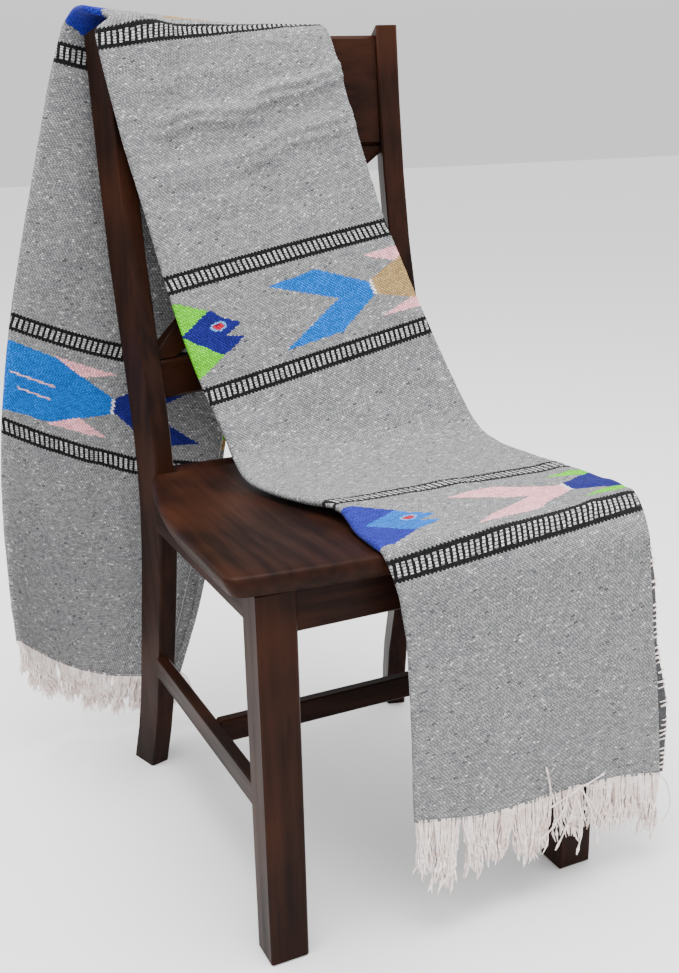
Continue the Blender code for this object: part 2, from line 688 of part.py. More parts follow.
def main():
    clear_scene()
    parts = make_collection("serape_on_chair")
    cutters = make_collection("cutters")
    wood = make_material("dark_wood", wood_color, 0.38)
    cloth = make_material("grey_weave", cloth_color, 0.9)
    hidden = make_material("grey_weave_inside", hidden_color, 0.9)
    yarn = make_material("fringe_yarn", fringe_color, 0.85)
    build_chair(wood, parts, cutters)
    face, normal = build_cloth(cloth, hidden, parts)
    build_fringe("fringe_front", face[0], face[1], normal[0], front_locks, front_lengths, 3, yarn, parts)
    build_fringe("fringe_back", face[-1], face[-2], normal[-1], back_locks, back_lengths, 5, yarn, parts)
    rest_on_origin(parts)


main()
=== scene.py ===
# A folded serape over a wooden X-back chair: cloth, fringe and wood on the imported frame.
import math
import random

import bpy
import bmesh
import numpy as np
from mathutils import Matrix, Vector


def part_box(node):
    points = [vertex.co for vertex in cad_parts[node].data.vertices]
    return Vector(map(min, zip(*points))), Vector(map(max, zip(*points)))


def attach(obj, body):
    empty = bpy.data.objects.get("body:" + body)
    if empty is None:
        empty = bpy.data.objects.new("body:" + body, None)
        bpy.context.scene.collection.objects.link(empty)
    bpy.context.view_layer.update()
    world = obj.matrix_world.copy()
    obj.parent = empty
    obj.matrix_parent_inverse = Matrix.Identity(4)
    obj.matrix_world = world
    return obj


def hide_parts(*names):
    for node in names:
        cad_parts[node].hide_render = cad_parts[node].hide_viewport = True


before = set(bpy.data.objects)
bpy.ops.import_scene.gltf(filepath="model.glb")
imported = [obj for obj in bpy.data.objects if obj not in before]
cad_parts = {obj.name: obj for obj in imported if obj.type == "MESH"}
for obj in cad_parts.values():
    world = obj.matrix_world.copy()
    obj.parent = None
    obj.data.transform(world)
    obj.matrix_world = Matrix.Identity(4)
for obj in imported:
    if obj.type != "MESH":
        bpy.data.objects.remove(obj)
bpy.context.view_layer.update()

# The sizes below are written with the chair's middle at x = 0 and its front legs' faces at y = -0.21
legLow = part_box("front_leg_left")[0]
legLeft, legFront = -0.2097, -0.210
shift = np.array([legLow[0] - legLeft, legLow[1] - legFront, 0.0])


# Plain helpers

def newObject(name, data, material=None):
    made = bpy.data.objects.new(name, data)
    bpy.context.scene.collection.objects.link(made)
    if material:
        data.materials.append(material)
    return made


def smoothShare(value, low, high):
    share = np.clip((value - low) / (high - low), 0.0, 1.0)
    return share * share * (3 - 2 * share)


# Smooth curve through values at places, for many wanted places at once
def throughPoints(places, values, wanted):
    places = np.asarray(places, float)
    values = np.asarray(values, float)
    wanted = np.asarray(wanted, float)
    slopes = np.gradient(values, places, axis=0)
    i = np.clip(np.searchsorted(places, wanted) - 1, 0, len(places) - 2)
    step = places[i + 1] - places[i]
    t = (wanted - places[i]) / step
    if values.ndim > 1:
        step, t = step[:, None], t[:, None]
    return ((2 * t ** 3 - 3 * t ** 2 + 1) * values[i] + (t ** 3 - 2 * t ** 2 + t) * step * slopes[i]
            + (3 * t ** 2 - 2 * t ** 3) * values[i + 1] + (t ** 3 - t ** 2) * step * slopes[i + 1])


# Smooth noise in -1..1 at points of any dimension, from sums of a few waves
def softNoise(points, seed, cell):
    rng = np.random.default_rng(seed)
    total = np.zeros(points.shape[:-1])
    for _ in range(7):
        wave = rng.normal(size=points.shape[-1])
        wave *= rng.uniform(0.6, 1.6) / np.linalg.norm(wave) * 2 * math.pi / cell
        total += np.sin(points @ wave + rng.uniform(0, 6.28))
    return total / 4


# Turn the faces outwards, with doubles merged first where a distance is given
def faceOutwards(mesh, merged=None):
    shape = bmesh.new()
    shape.from_mesh(mesh)
    if merged:
        bmesh.ops.remove_doubles(shape, verts=shape.verts, dist=merged)
    bmesh.ops.recalc_face_normals(shape, faces=shape.faces)
    shape.to_mesh(mesh)
    shape.free()


# Distance from a corner rounded off, from the distances past its two sides
def roundedDistance(first, second, radius):
    outside = np.hypot(np.maximum(first, 0), np.maximum(second, 0))
    return outside + np.minimum(np.maximum(first, second), 0) - radius


# Short calls for building one material's nodes
class Nodes:
    def __init__(self, material):
        self.tree = material.node_tree
        self.shader = self.tree.nodes["Principled BSDF"]

    def put(self, socket, value):
        if isinstance(value, bpy.types.NodeSocket):
            self.tree.links.new(value, socket)
        else:
            socket.default_value = value

    def math(self, operation, *values):
        node = self.tree.nodes.new("ShaderNodeMath")
        node.operation = operation
        for socket, value in zip(node.inputs, values):
            self.put(socket, value)
        return node.outputs[0]

    def times(self, first, second):
        return self.math("MULTIPLY", first, second)

    def plus(self, first, second):
        return self.math("ADD", first, second)

    def minus(self, first, second):
        return self.math("SUBTRACT", first, second)

    def below(self, value, limit):
        return self.math("LESS_THAN", value, limit)

    def dot(self, vector, constant):
        node = self.tree.nodes.new("ShaderNodeVectorMath")
        node.operation = "DOT_PRODUCT"
        self.put(node.inputs[0], vector)
        node.inputs[1].default_value = constant
        return node.outputs["Value"]

    def combine(self, x, y, z=0.0):
        node = self.tree.nodes.new("ShaderNodeCombineXYZ")
        for socket, value in zip(node.inputs, (x, y, z)):
            self.put(socket, value)
        return node.outputs[0]

    # the places of the sockets differ by the kind of data
    def mixed(self, kind, places, values):
        node = self.tree.nodes.new("ShaderNodeMix")
        node.data_type = kind
        for place, value in zip(places, values):
            self.put(node.inputs[place], value)
        return node

    def mix(self, share, first, second):
        return self.mixed("RGBA", (0, 6, 7), (share, first, second)).outputs[2]

    def noise(self, vector, scale, detail=2.0, roughness=0.5):
        node = self.tree.nodes.new("ShaderNodeTexNoise")
        self.put(node.inputs["Vector"], vector)
        node.inputs["Scale"].default_value = scale
        node.inputs["Detail"].default_value = detail
        node.inputs["Roughness"].default_value = roughness
        return node.outputs[0]

    def stretched(self, vector, scale):
        node = self.tree.nodes.new("ShaderNodeVectorMath")
        node.operation = "MULTIPLY"
        self.put(node.inputs[0], vector)
        node.inputs[1].default_value = scale
        return node.outputs[0]

    def spread(self, value, low, high, newLow=0.0, newHigh=1.0):
        node = self.tree.nodes.new("ShaderNodeMapRange")
        for socket, given in zip(node.inputs, (value, low, high, newLow, newHigh)):
            self.put(socket, given)
        return node.outputs[0]

    def pick(self, share, first, second):
        return self.mixed("FLOAT", (0, 2, 3), (share, first, second)).outputs[0]

    def chance(self, vector):
        node = self.tree.nodes.new("ShaderNodeTexWhiteNoise")
        self.put(node.inputs["Vector"], vector)
        return node.outputs["Value"]

    def scaled(self, tint, share):
        node = self.tree.nodes.new("ShaderNodeVectorMath")
        node.operation = "SCALE"
        self.put(node.inputs[0], tint[:3] if isinstance(tint, tuple) else tint)
        self.put(node.inputs["Scale"], share)
        return node.outputs[0]

    def bump(self, height, strength, distance):
        node = self.tree.nodes.new("ShaderNodeBump")
        node.inputs["Strength"].default_value = strength
        node.inputs["Distance"].default_value = distance
        self.put(node.inputs["Height"], height)
        self.tree.links.new(node.outputs[0], self.shader.inputs["Normal"])

    # 1 inside a convex shape; point is (x, y, 1) and corners run anticlockwise
    def inside(self, point, corners):
        worst = None
        for (ax, ay), (bx, by) in zip(corners, corners[1:] + corners[:1]):
            nx, ny = by - ay, ax - bx
            length = math.hypot(nx, ny)
            side = self.dot(point, (nx / length, ny / length, -(nx * ax + ny * ay) / length))
            worst = side if worst is None else self.math("MAXIMUM", worst, side)
        return self.below(worst, 0.0)


def newMaterial(name, roughness, specular=0.5):
    material = bpy.data.materials.new(name)
    material.use_nodes = True
    nodes = Nodes(material)
    nodes.shader.inputs["Roughness"].default_value = roughness
    nodes.shader.inputs["Specular IOR Level"].default_value = specular
    return material, nodes


# Wood of the chair: dark stain with a fine grain along each piece

wood = {"dark": (0.0084, 0.0038, 0.0029, 1), "brown": (0.0200, 0.0074, 0.0046, 1),
        "red": (0.0370, 0.0124, 0.0060, 1), "pore": (0.0050, 0.0023, 0.0018, 1)}
smoothBelow = {"seat": 50}


def woodMaterial(name, grain):
    material, n = newMaterial(name, 0.40, 0.05)
    place = n.tree.nodes.new("ShaderNodeTexCoord").outputs["Object"]
    along = n.stretched(place, grain)
    streak = n.noise(along, 1.0, 5.0, 0.6)
    cloud = n.noise(place, 7.0, 2.0, 0.5)
    fine = n.noise(along, 3.1, 2.0, 0.5)
    tone = n.mix(n.spread(streak, 0.38, 0.66), wood["dark"], wood["brown"])
    tone = n.mix(n.spread(cloud, 0.48, 0.72, 0.0, 0.75), tone, wood["red"])
    tone = n.mix(n.spread(fine, 0.58, 0.75, 0.0, 0.35), tone, wood["pore"])
    n.put(n.shader.inputs["Base Color"], tone)
    n.put(n.shader.inputs["Roughness"], n.spread(streak, 0.3, 0.7, 0.48, 0.34))
    n.bump(streak, 0.12, 0.0006)
    return material


woods = {
    "x": woodMaterial("woodAlongX", (5.0, 90.0, 90.0)),
    "y": woodMaterial("woodAlongY", (70.0, 4.5, 90.0)),
    "z": woodMaterial("woodAlongZ", (90.0, 90.0, 5.0)),
}
chairGrain = {
    "front_leg_left": "z", "front_leg_right": "z", "rear_post_left": "z", "rear_post_right": "z",
    "apron_front": "x", "apron_back": "x", "apron_left": "y", "apron_right": "y",
    "side_stretcher_left": "y", "side_stretcher_right": "y", "cross_stretcher": "x",
    "top_rail": "x", "low_rail": "x", "brace_rising_left": "x", "brace_rising_right": "x", "seat": "y",
}
for nodeName, grain in chairGrain.items():
    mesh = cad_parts[nodeName].data.copy()
    mesh.transform(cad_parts[nodeName].matrix_world)
    faceOutwards(mesh, merged=0.00002)
    mesh.materials.clear()
    mesh.polygons.foreach_set("use_smooth", [True] * len(mesh.polygons))
    mesh.set_sharp_from_angle(angle=math.radians(smoothBelow.get(nodeName, 24)))
    wooden = newObject("wood_" + nodeName, mesh, woods[grain])
    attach(wooden, "root")
    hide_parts(nodeName)
print("chair done")


# The form of the folded cloth

stack = 0.0078
back = {"postTop": 0.983, "postHalf": 0.0262, "railTop": 0.9713, "railHalf": 0.011, "railReach": 0.1742,
        "railSetBack": 0.0041, "turn": math.radians(17.3), "turnReach": 0.1745,
        "postClear": 0.0020, "railClear": 0.0026}
seat = {"top": 0.457, "thick": 0.0225, "edge": 0.005, "corner": 0.012, "front": -0.2105, "back": 0.186,
        "bow": 0.0165, "widest": 0.2389, "narrowing": 0.040, "narrowFrom": -0.110, "narrowOver": 0.264,
        "dip": 0.006, "clear": 0.0008}
postPlaces = [(0.00, 0.275), (0.10, 0.252), (0.20, 0.2265), (0.30, 0.200), (0.37, 0.1855), (0.43, 0.180),
              (0.50, 0.1865), (0.58, 0.2045), (0.70, 0.2365), (0.82, 0.257), (0.99, 0.273)]

# Weft lines from the front hem over the seat and the back to the back hem:
# along, left end (x, y, z), right end (x, y, z), how far the middle hangs back, and down
weftLines = [
    (0.000, (-0.048, -0.2450, 0.152), (0.280, -0.2440, 0.117), 0, 0),
    (0.080, (-0.050, -0.2452, 0.228), (0.271, -0.2445, 0.202), -0.002, 0),
    (0.160, (-0.053, -0.2454, 0.303), (0.258, -0.2448, 0.288), -0.001, 0),
    (0.250, (-0.060, -0.2456, 0.386), (0.246, -0.2448, 0.390), 0, 0),
    (0.305, (-0.070, -0.2450, 0.436), (0.239, -0.2420, 0.445), 0, 0),
    (0.328, (-0.075, -0.2340, 0.459), (0.246, -0.2180, 0.465), 0, 0),
    (0.350, (-0.077, -0.2120, 0.465), (0.253, -0.1960, 0.465), 0, 0),
    (0.400, (-0.074, -0.1640, 0.466), (0.255, -0.1400, 0.464), 0, 0),
    (0.459, (-0.066, -0.1020, 0.471), (0.246, -0.0700, 0.465), 0, 0),
    (0.520, (-0.083, -0.0400, 0.466), (0.237, -0.0080, 0.465), 0, 0),
    (0.580, (-0.102, 0.0180, 0.465), (0.235, 0.0520, 0.465), 0, 0),
    (0.630, (-0.107, 0.0680, 0.466), (0.234, 0.0960, 0.474), 0, 0),
    (0.670, (-0.106, 0.1020, 0.477), (0.229, 0.1250, 0.500), 0, 0),
    (0.710, (-0.110, 0.1280, 0.506), (0.216, 0.1440, 0.541), 0, 0),
    (0.757, (-0.121, 0.1510, 0.548), (0.198, 0.1630, 0.596), 0, 0),
    (0.827, (-0.138, 0.1710, 0.614), (0.176, 0.1840, 0.664), 0.004, 0),
    (0.897, (-0.151, 0.1890, 0.682), (0.154, 0.2040, 0.733), 0.006, 0),
    (1.000, (-0.169, 0.2110, 0.783), (0.131, 0.2290, 0.831), 0.008, 0),
    (1.090, (-0.186, 0.2270, 0.870), (0.116, 0.2490, 0.912), 0.008, 0),
    (1.150, (-0.196, 0.2340, 0.926), (0.109, 0.2640, 0.960), 0.006, 0),
    (1.190, (-0.202, 0.2370, 0.965), (0.104, 0.2810, 0.985), 0.004, 0),
    (1.220, (-0.204, 0.2450, 0.993), (0.099, 0.3060, 0.984), 0.002, 0),
    (1.245, (-0.208, 0.2660, 1.004), (0.095, 0.3210, 0.965), 0.004, -0.004),
    (1.275, (-0.215, 0.2950, 1.001), (0.089, 0.3240, 0.934), 0.008, -0.008),
    (1.305, (-0.226, 0.3080, 0.977), (0.081, 0.3250, 0.905), 0.009, -0.004),
    (1.339, (-0.238, 0.3085, 0.945), (0.072, 0.3240, 0.870), 0.009, 0),
    (1.440, (-0.267, 0.3085, 0.846), (0.044, 0.3220, 0.769), 0.007, 0),
    (1.540, (-0.294, 0.3090, 0.747), (0.012, 0.3180, 0.666), 0.006, 0),
    (1.654, (-0.322, 0.3100, 0.637), (-0.020, 0.3170, 0.552), 0.008, 0),
    (1.794, (-0.346, 0.3120, 0.505), (-0.055, 0.3170, 0.401), 0.014, 0.002),
    (1.900, (-0.356, 0.3150, 0.402), (-0.076, 0.3180, 0.298), 0.030, 0.011),
    (2.000, (-0.360, 0.3190, 0.297), (-0.099, 0.3180, 0.198), 0.048, 0.028),
    (2.090, (-0.359, 0.3220, 0.199), (-0.134, 0.3180, 0.101), 0.062, 0.048),
]
# Rows of the mesh: start, end, count
rowSpans = [(0.000, 0.290, 48), (0.290, 0.362, 26), (0.362, 0.600, 42), (0.600, 0.800, 36),
            (0.800, 1.020, 46), (1.020, 1.130, 46), (1.130, 1.340, 70), (1.340, 2.090, 118)]


def postY(z):
    places, values = zip(*postPlaces)
    return throughPoints(places, values, np.clip(z, 0, 0.99))


# Distance from a standing board with a rounded top, seen end on
def boardDistance(y, z, centre, half, top, corner):
    return roundedDistance(np.abs(y - centre) - (half - corner), z - (top - corner), corner)


# Distance of many points from the seat, the top rail and the left post
def chairDistance(points):
    x, y, z = points[:, 0], points[:, 1], points[:, 2]
    front = seat["front"] - seat["bow"] * (1 - np.clip(np.abs(x) / seat["widest"], 0, 1) ** 2)
    narrowing = seat["narrowing"] * (np.maximum(y - seat["narrowFrom"], 0) / seat["narrowOver"]) ** 2.5
    side = np.abs(x) - seat["widest"] + narrowing + seat["corner"]
    ends = np.maximum(front - y, y - seat["back"]) + seat["corner"]
    outline = roundedDistance(side, ends, seat["corner"])
    dip = seat["dip"] * smoothShare(-outline, 0.004, 0.11)
    dip = dip * smoothShare(y, seat["front"], seat["front"] + 0.16)
    height = np.abs(z + dip - seat["top"] + seat["thick"] / 2) - (seat["thick"] / 2 - seat["edge"])
    fromSeat = roundedDistance(outline + seat["edge"], height, seat["edge"]) - seat["clear"]

    radius = back["railReach"] / math.sin(back["turn"])
    angle = np.clip(x / back["turnReach"], -1, 1) * back["turn"]
    curve = postY(np.minimum(z, back["railTop"])) + back["railSetBack"]
    curve = curve + radius * (np.cos(angle) - math.cos(back["turn"]))
    near = smoothShare(-x, 0.030, 0.168)
    rail = boardDistance(y, z, curve, back["railHalf"], back["railTop"], 0.008) - back["railClear"]
    postMiddle = postY(np.minimum(z, back["postTop"]))
    post = boardDistance(y, z, postMiddle, back["postHalf"], back["postTop"], 0.003) - back["postClear"]
    # the rail's top rises to the post's, so that the cloth bends over both without a step
    wideTop = back["railTop"] + (back["postTop"] - back["railTop"]) * near
    wide = boardDistance(y, z, curve, back["railHalf"], wideTop, 0.004)
    between = np.minimum(rail, wide) * (1 - near) + np.minimum(post, wide) * near
    board = np.where(near >= 1, post, np.where(near > 0, between, rail))
    return np.where((z > 0.60) | (z < 0.52), np.minimum(fromSeat, board), fromSeat)


# Move points out of the chair to the stack's thickness
def pushClear(points, wanted):
    points = points.copy()
    for _ in range(6):
        found = chairDistance(points)
        near = np.flatnonzero(found < wanted)
        if not len(near):
            break
        few = points[near]
        step = 1e-4
        slope = np.stack([(chairDistance(few + step * axis) - found[near]) / step for axis in np.eye(3)], 1)
        slope /= np.maximum(np.linalg.norm(slope, axis=1), 1e-6)[:, None]
        points[near] = few + slope * (wanted - found[near])[:, None]
    return points


# Rounds of easing where the cloth bends over the seat's edge and the top rail
easeRounds = 26


# Outer face of the stack on a grid of rows and shares of the width
def clothForm(shares):
    rows = np.concatenate([[0.0]] + [np.linspace(a, b, count + 1)[1:] for a, b, count in rowSpans])
    places = [line[0] for line in weftLines]
    values = [list(line[1]) + list(line[2]) + list(line[3:5]) for line in weftLines]
    lines = throughPoints(places, values, rows)
    left, right = lines[:, None, 0:3], lines[:, None, 3:6]
    t = shares[None, :, None]
    hang = np.stack([np.zeros(len(rows)), lines[:, 6], -lines[:, 7]], 1)[:, None, :]
    grid = left + (right - left) * t + hang * 4 * t * (1 - t)
    # the front hem bows down at its left and up at its right
    bow = 0.0075 * (1 - smoothShare(rows, 0.0, 0.16))
    grid[:, :, 2] -= bow[:, None] * np.sin(2 * math.pi * np.clip(shares, 0, 1))[None, :]

    def clear(points):
        return pushClear(points.reshape(-1, 3), stack + 0.0006).reshape(points.shape)

    grid = clear(grid)
    bends = (rows > 0.29) & (rows < 0.37) | (rows > 1.13) & (rows < 1.345)
    for _ in range(easeRounds):
        eased = grid.copy()
        eased[1:-1] = 0.5 * grid[1:-1] + 0.25 * (grid[:-2] + grid[2:])
        eased[:, 1:-1] = 0.6 * eased[:, 1:-1] + 0.2 * (eased[:, :-2] + eased[:, 2:])
        grid[bends] = eased[bends]
        grid = clear(grid)
    return rows, grid


def faceNormals(points):
    facing = np.cross(np.gradient(points, axis=1), np.gradient(points, axis=0))
    return facing / np.linalg.norm(facing, axis=2)[:, :, None]


shares = np.linspace(-0.02, 1.07, 56)
rows, grid = clothForm(shares)
normals = faceNormals(grid)
room = chairDistance(grid.reshape(-1, 3)).reshape(grid.shape[:2]) - stack

# Creases of the outer face: from (share, along) to (share, along), half width, height; below 0 is a trough
creases = [
    (0.10, 1.088, 0.62, 1.081, 0.008, 0.0068), (0.44, 1.084, 1.10, 1.120, 0.008, 0.0084),
    (0.10, 1.074, 0.62, 1.067, 0.006, 0.0058), (0.44, 1.070, 1.10, 1.106, 0.006, 0.0070),
    (0.00, 1.020, 0.62, 1.026, 0.008, 0.0036), (0.42, 1.024, 1.10, 1.056, 0.008, 0.0050),
    (0.00, 1.005, 0.62, 1.011, 0.007, 0.0030), (0.42, 1.009, 1.10, 1.041, 0.006, 0.0042),
    (0.05, 0.975, 0.50, 0.968, 0.012, 0.0020), (0.05, 1.128, 0.60, 1.132, 0.010, 0.0016),
    (0.30, 0.950, 0.95, 0.965, 0.014, -0.0018), (0.02, 0.700, 0.45, 0.735, 0.012, 0.0030),
    (0.50, 0.690, 1.00, 0.670, 0.014, 0.0028), (0.05, 0.640, 0.60, 0.662, 0.012, -0.0026),
    (0.10, 0.600, 0.40, 0.560, 0.010, 0.0022), (0.00, 0.520, 0.25, 0.500, 0.009, 0.0030),
    (0.80, 0.400, 1.02, 0.380, 0.008, 0.0026), (0.72, 0.330, 1.02, 0.352, 0.007, 0.0030),
    (0.05, 0.345, 0.30, 0.336, 0.007, 0.0022), (0.22, 0.020, 0.26, 0.280, 0.018, 0.0036),
    (0.58, 0.010, 0.52, 0.240, 0.022, -0.0036), (0.84, 0.030, 0.86, 0.290, 0.016, 0.0032),
    (0.40, 0.150, 0.44, 0.300, 0.012, 0.0020), (0.20, 1.370, 0.80, 1.400, 0.016, 0.0030),
    (0.30, 1.430, 0.26, 1.900, 0.022, 0.0044), (0.62, 1.400, 0.58, 2.050, 0.026, -0.0048),
    (0.82, 1.520, 0.78, 2.080, 0.018, 0.0040), (0.10, 1.600, 0.14, 2.070, 0.016, 0.0034),
    (0.46, 1.760, 0.48, 2.080, 0.014, 0.0030),
]
width = 0.31


def creaseHeight(share, along):
    total = np.zeros(np.broadcast(share, along).shape)
    for s0, a0, s1, a1, half, height in creases:
        start, end = np.array([s0 * width, a0]), np.array([s1 * width, a1])
        run = end - start
        length = np.linalg.norm(run)
        px, py = share * width - start[0], along - start[1]
        t = (px * run[0] + py * run[1]) / length ** 2
        off = (px * run[1] - py * run[0]) / length + 0.004 * np.sin(9 * t + 40 * s0)
        fade = smoothShare(t, -0.12, 0.22) * (1 - smoothShare(t, 0.75, 1.12))
        total += height * fade * np.exp(-(off / half) ** 2)
    return total


place = np.stack(np.broadcast_arrays(shares[None, :] * width, rows[:, None]), -1)
relief = creaseHeight(shares[None, :], rows[:, None])
relief += 0.0011 * softNoise(place, 4, 0.11) + 0.0005 * softNoise(place, 9, 0.035)
# What lies on the chair only rises; what hangs free moves both ways, whole stack and all
free = smoothShare(room, 0.006, 0.020)
sway = relief * free
lift = np.maximum(relief * (1 - free), -0.0002) + 0.0002
grid = grid + normals * sway[:, :, None]
print("cloth form done", round(float(room.min()), 5))


# Points of the cloth at shares and depths, rows x columns; follow is how far they share the lift
def onForm(share, depth, follow):
    columns = np.clip((share - shares[0]) / (shares[1] - shares[0]), 0, len(shares) - 1.001)
    low = np.floor(columns).astype(int)
    part = (columns - low)[:, :, None]
    pick = np.arange(len(rows))[:, None]
    base = grid[pick, low] * (1 - part) + grid[pick, low + 1] * part
    normal = normals[pick, low] * (1 - part) + normals[pick, low + 1] * part
    normal /= np.linalg.norm(normal, axis=2)[:, :, None]
    raised = (lift[pick, low] * (1 - part[:, :, 0]) + lift[pick, low + 1] * part[:, :, 0]) * follow
    return base + normal * (raised - depth)[:, :, None]


# The cloth as one ribbon folded in four: bottom layer, left fold, top layer, right fold and two layers inside
fold = {"bottom": 0.0069, "top": 0.0009, "second": 0.0030, "third": 0.0049}


def wobble(seed, cell, size):
    return size * softNoise(rows[:, None], seed, cell)


# Share, depth and u of the ribbon's middle, rows x columns
def ribbon():
    shown = 1 - smoothShare(rows, 0.23, 0.33)
    selvageUnder = 0.986 - 0.056 * smoothShare(rows, 1.76, 2.00) + 0.047 * shown + wobble(3, 0.16, 0.0022)
    selvageUnder += 0.022 * np.exp(-((rows - 0.085) / 0.055) ** 2)
    selvageInside = 0.974 + 0.026 * shown + wobble(5, 0.12, 0.0040)
    topEdge = 1.000 + wobble(8, 0.19, 0.0035)
    # the left fold stays off the post's front until it is over its top
    foldEdge = 0.068 * smoothShare(rows, 1.197, 1.214) * (1 - smoothShare(rows, 1.222, 1.246))
    leftInside = foldEdge + 0.016 + wobble(6, 0.2, 0.003)
    shareColumns, depthColumns, uColumns = [], [], []

    def add(share, depth, u):
        shareColumns.append(np.broadcast_to(share, rows.shape))
        depthColumns.append(np.broadcast_to(depth, rows.shape))
        uColumns.append(u)

    def straight(start, end, depth, count, uStart, uEnd):
        for k in range(count + 1):
            t = k / count
            add(start + (end - start) * t, depth, uStart + (uEnd - uStart) * t)

    # u runs on round each turn by the turn's own length
    def turn(share, depthFrom, depthTo, direction, uStart, steps):
        radius = (depthTo - depthFrom) / 2
        for k in range(1, steps):
            angle = math.pi * k / steps
            add(share + direction * abs(radius) * math.sin(angle) / width,
                depthFrom + radius * (1 - math.cos(angle)), uStart + abs(radius) * angle)
        return uStart + abs(radius) * math.pi

    firstTurn = width - 0.0047
    straight(selvageUnder, foldEdge, fold["bottom"], 20, 0.0, firstTurn)
    place = turn(foldEdge, fold["bottom"], fold["top"], -1, firstTurn, 7)
    secondTurn = 2 * width - 0.0016
    straight(foldEdge, topEdge, fold["top"], 42, place, secondTurn)
    place = turn(topEdge, fold["top"], fold["second"], 1, secondTurn, 5)
    thirdTurn = 3 * width - 0.0015
    straight(topEdge, leftInside, fold["second"], 10, place, thirdTurn)
    place = turn(leftInside, fold["second"], fold["third"], -1, thirdTurn, 4)
    straight(leftInside, selvageInside, fold["third"], 12, place, 4 * width)
    return np.stack(shareColumns, 1), np.stack(depthColumns, 1), np.array(uColumns)


ribbonShare, ribbonDepth, ribbonU = ribbon()
columns = len(ribbonU)
follow = np.clip(1.12 - ribbonDepth / 0.0070, 0.0, 1.0)
clothHalf = 0.00072
middle = onForm(ribbonShare, ribbonDepth, follow)
ribbonNormal = faceNormals(middle)
outer, inner = middle + ribbonNormal * clothHalf, middle - ribbonNormal * clothHalf

# v runs from the front hem; the pattern's rows meet the right edge a little earlier or later than the left.
# Each pair is a place along the cloth at the right edge, and the pattern's place there
rightRows = [(0.0, 0.0), (0.317, 0.304), (0.342, 0.323), (0.444, 0.466), (0.462, 0.483), (0.600, 0.608),
             (0.757, 0.747), (0.773, 0.765), (0.886, 0.887), (0.905, 0.906), (1.080, 1.080), (1.194, 1.179),
             (1.213, 1.198), (1.340, 1.340), (2.10, 2.10)]
atRight = np.interp(rows, *zip(*rightRows))
insideShare = np.clip(ribbonShare, 0, 1)
patternSag = 0.016 * smoothShare(rows, 1.40, 1.65)
patternV = rows[:, None] + (atRight - rows)[:, None] * insideShare
patternV = patternV - patternSag[:, None] * 4 * insideShare * (1 - insideShare)


def ribbonMesh():
    count = len(rows) * columns
    points = np.concatenate([outer.reshape(-1, 3), inner.reshape(-1, 3)]) + shift
    index = np.arange(count).reshape(len(rows), columns)
    a, b, c, d = index[:-1, :-1], index[:-1, 1:], index[1:, 1:], index[1:, :-1]
    front = np.stack([a, b, c, d], -1).reshape(-1, 4)
    back = np.stack([d, c, b, a], -1).reshape(-1, 4) + count
    edges = []
    for line in (index[:, 0], index[-1, :], index[::-1, -1], index[0, ::-1]):
        edges.append(np.stack([line[:-1], line[1:], line[1:] + count, line[:-1] + count], -1))
    faces = np.concatenate([front, back] + edges)
    mesh = bpy.data.meshes.new("serapeCloth")
    mesh.from_pydata(points.tolist(), [], faces.tolist())
    layer = mesh.uv_layers.new(name="weave")
    uv = np.stack([np.broadcast_to(ribbonU, ribbonShare.shape), patternV], -1).reshape(-1, 2)
    uv = np.concatenate([uv, uv])
    layer.data.foreach_set("uv", uv[faces.reshape(-1)].reshape(-1).astype(np.float32))
    mesh.polygons.foreach_set("use_smooth", [True] * len(mesh.polygons))
    faceOutwards(mesh)
    return mesh


# Weave of the cloth: rows of fish between ladder bands, on heathered grey

azure, royal, navy = (0.004, 0.130, 0.53, 1), (0.016, 0.022, 0.27, 1), (0.012, 0.014, 0.16, 1)
lime, tan, pink = (0.120, 0.58, 0.012, 1), (0.37, 0.245, 0.105, 1), (0.90, 0.41, 0.46, 1)
red, paleBlue, white = (0.45, 0.006, 0.03, 1), (0.13, 0.30, 0.62, 1), (0.80, 0.79, 0.77, 1)
black, dustyPink, darkRed = (0.0075, 0.0075, 0.0080, 1), (0.66, 0.42, 0.50, 1), (0.12, 0.004, 0.03, 1)
# the first is painted shade for the front drop's edges, the second the pale thread's colour
paintedEdgeShade, oatmeal = (0.030, 0.030, 0.034, 1), (0.50, 0.48, 0.44, 1)
# Each row: centre along the cloth, how far the ladder bands lie from it, half height of the fish's field,
# where the first nose lies across the cloth, and from nose to nose
fishRows = [
    {"centre": 0.3940, "bands": 0.0805, "half": 0.0715, "nose": 0.4009, "pitch": 0.4026},
    {"centre": 0.8262, "bands": 0.0702, "half": 0.0610, "nose": 0.3862, "pitch": 0.422},
    {"centre": 1.2590, "bands": 0.0705, "half": 0.0610, "nose": 0.352, "pitch": 0.411},
    {"centre": 1.7247, "bands": 0.0702, "half": 0.0610, "nose": 0.4025, "pitch": 0.411},
]
# Colours of a fish by row and place in the row: head, body, tail, fins
fishColors = [
    (0, 0, azure, royal, pink, lime), (0, 1, lime, navy, pink, lime), (0, 2, tan, azure, navy, pink),
    (1, 0, navy, lime, navy, pink), (1, 1, royal, tan, azure, pink), (1, 2, lime, royal, tan, azure),
    (2, 0, royal, royal, navy, pink), (2, 1, lime, pink, tan, tan), (2, 2, azure, tan, lime, pink),
    (3, 0, azure, azure, navy, pink), (3, 1, pink, lime, royal, tan), (3, 2, navy, azure, lime, pink),
]
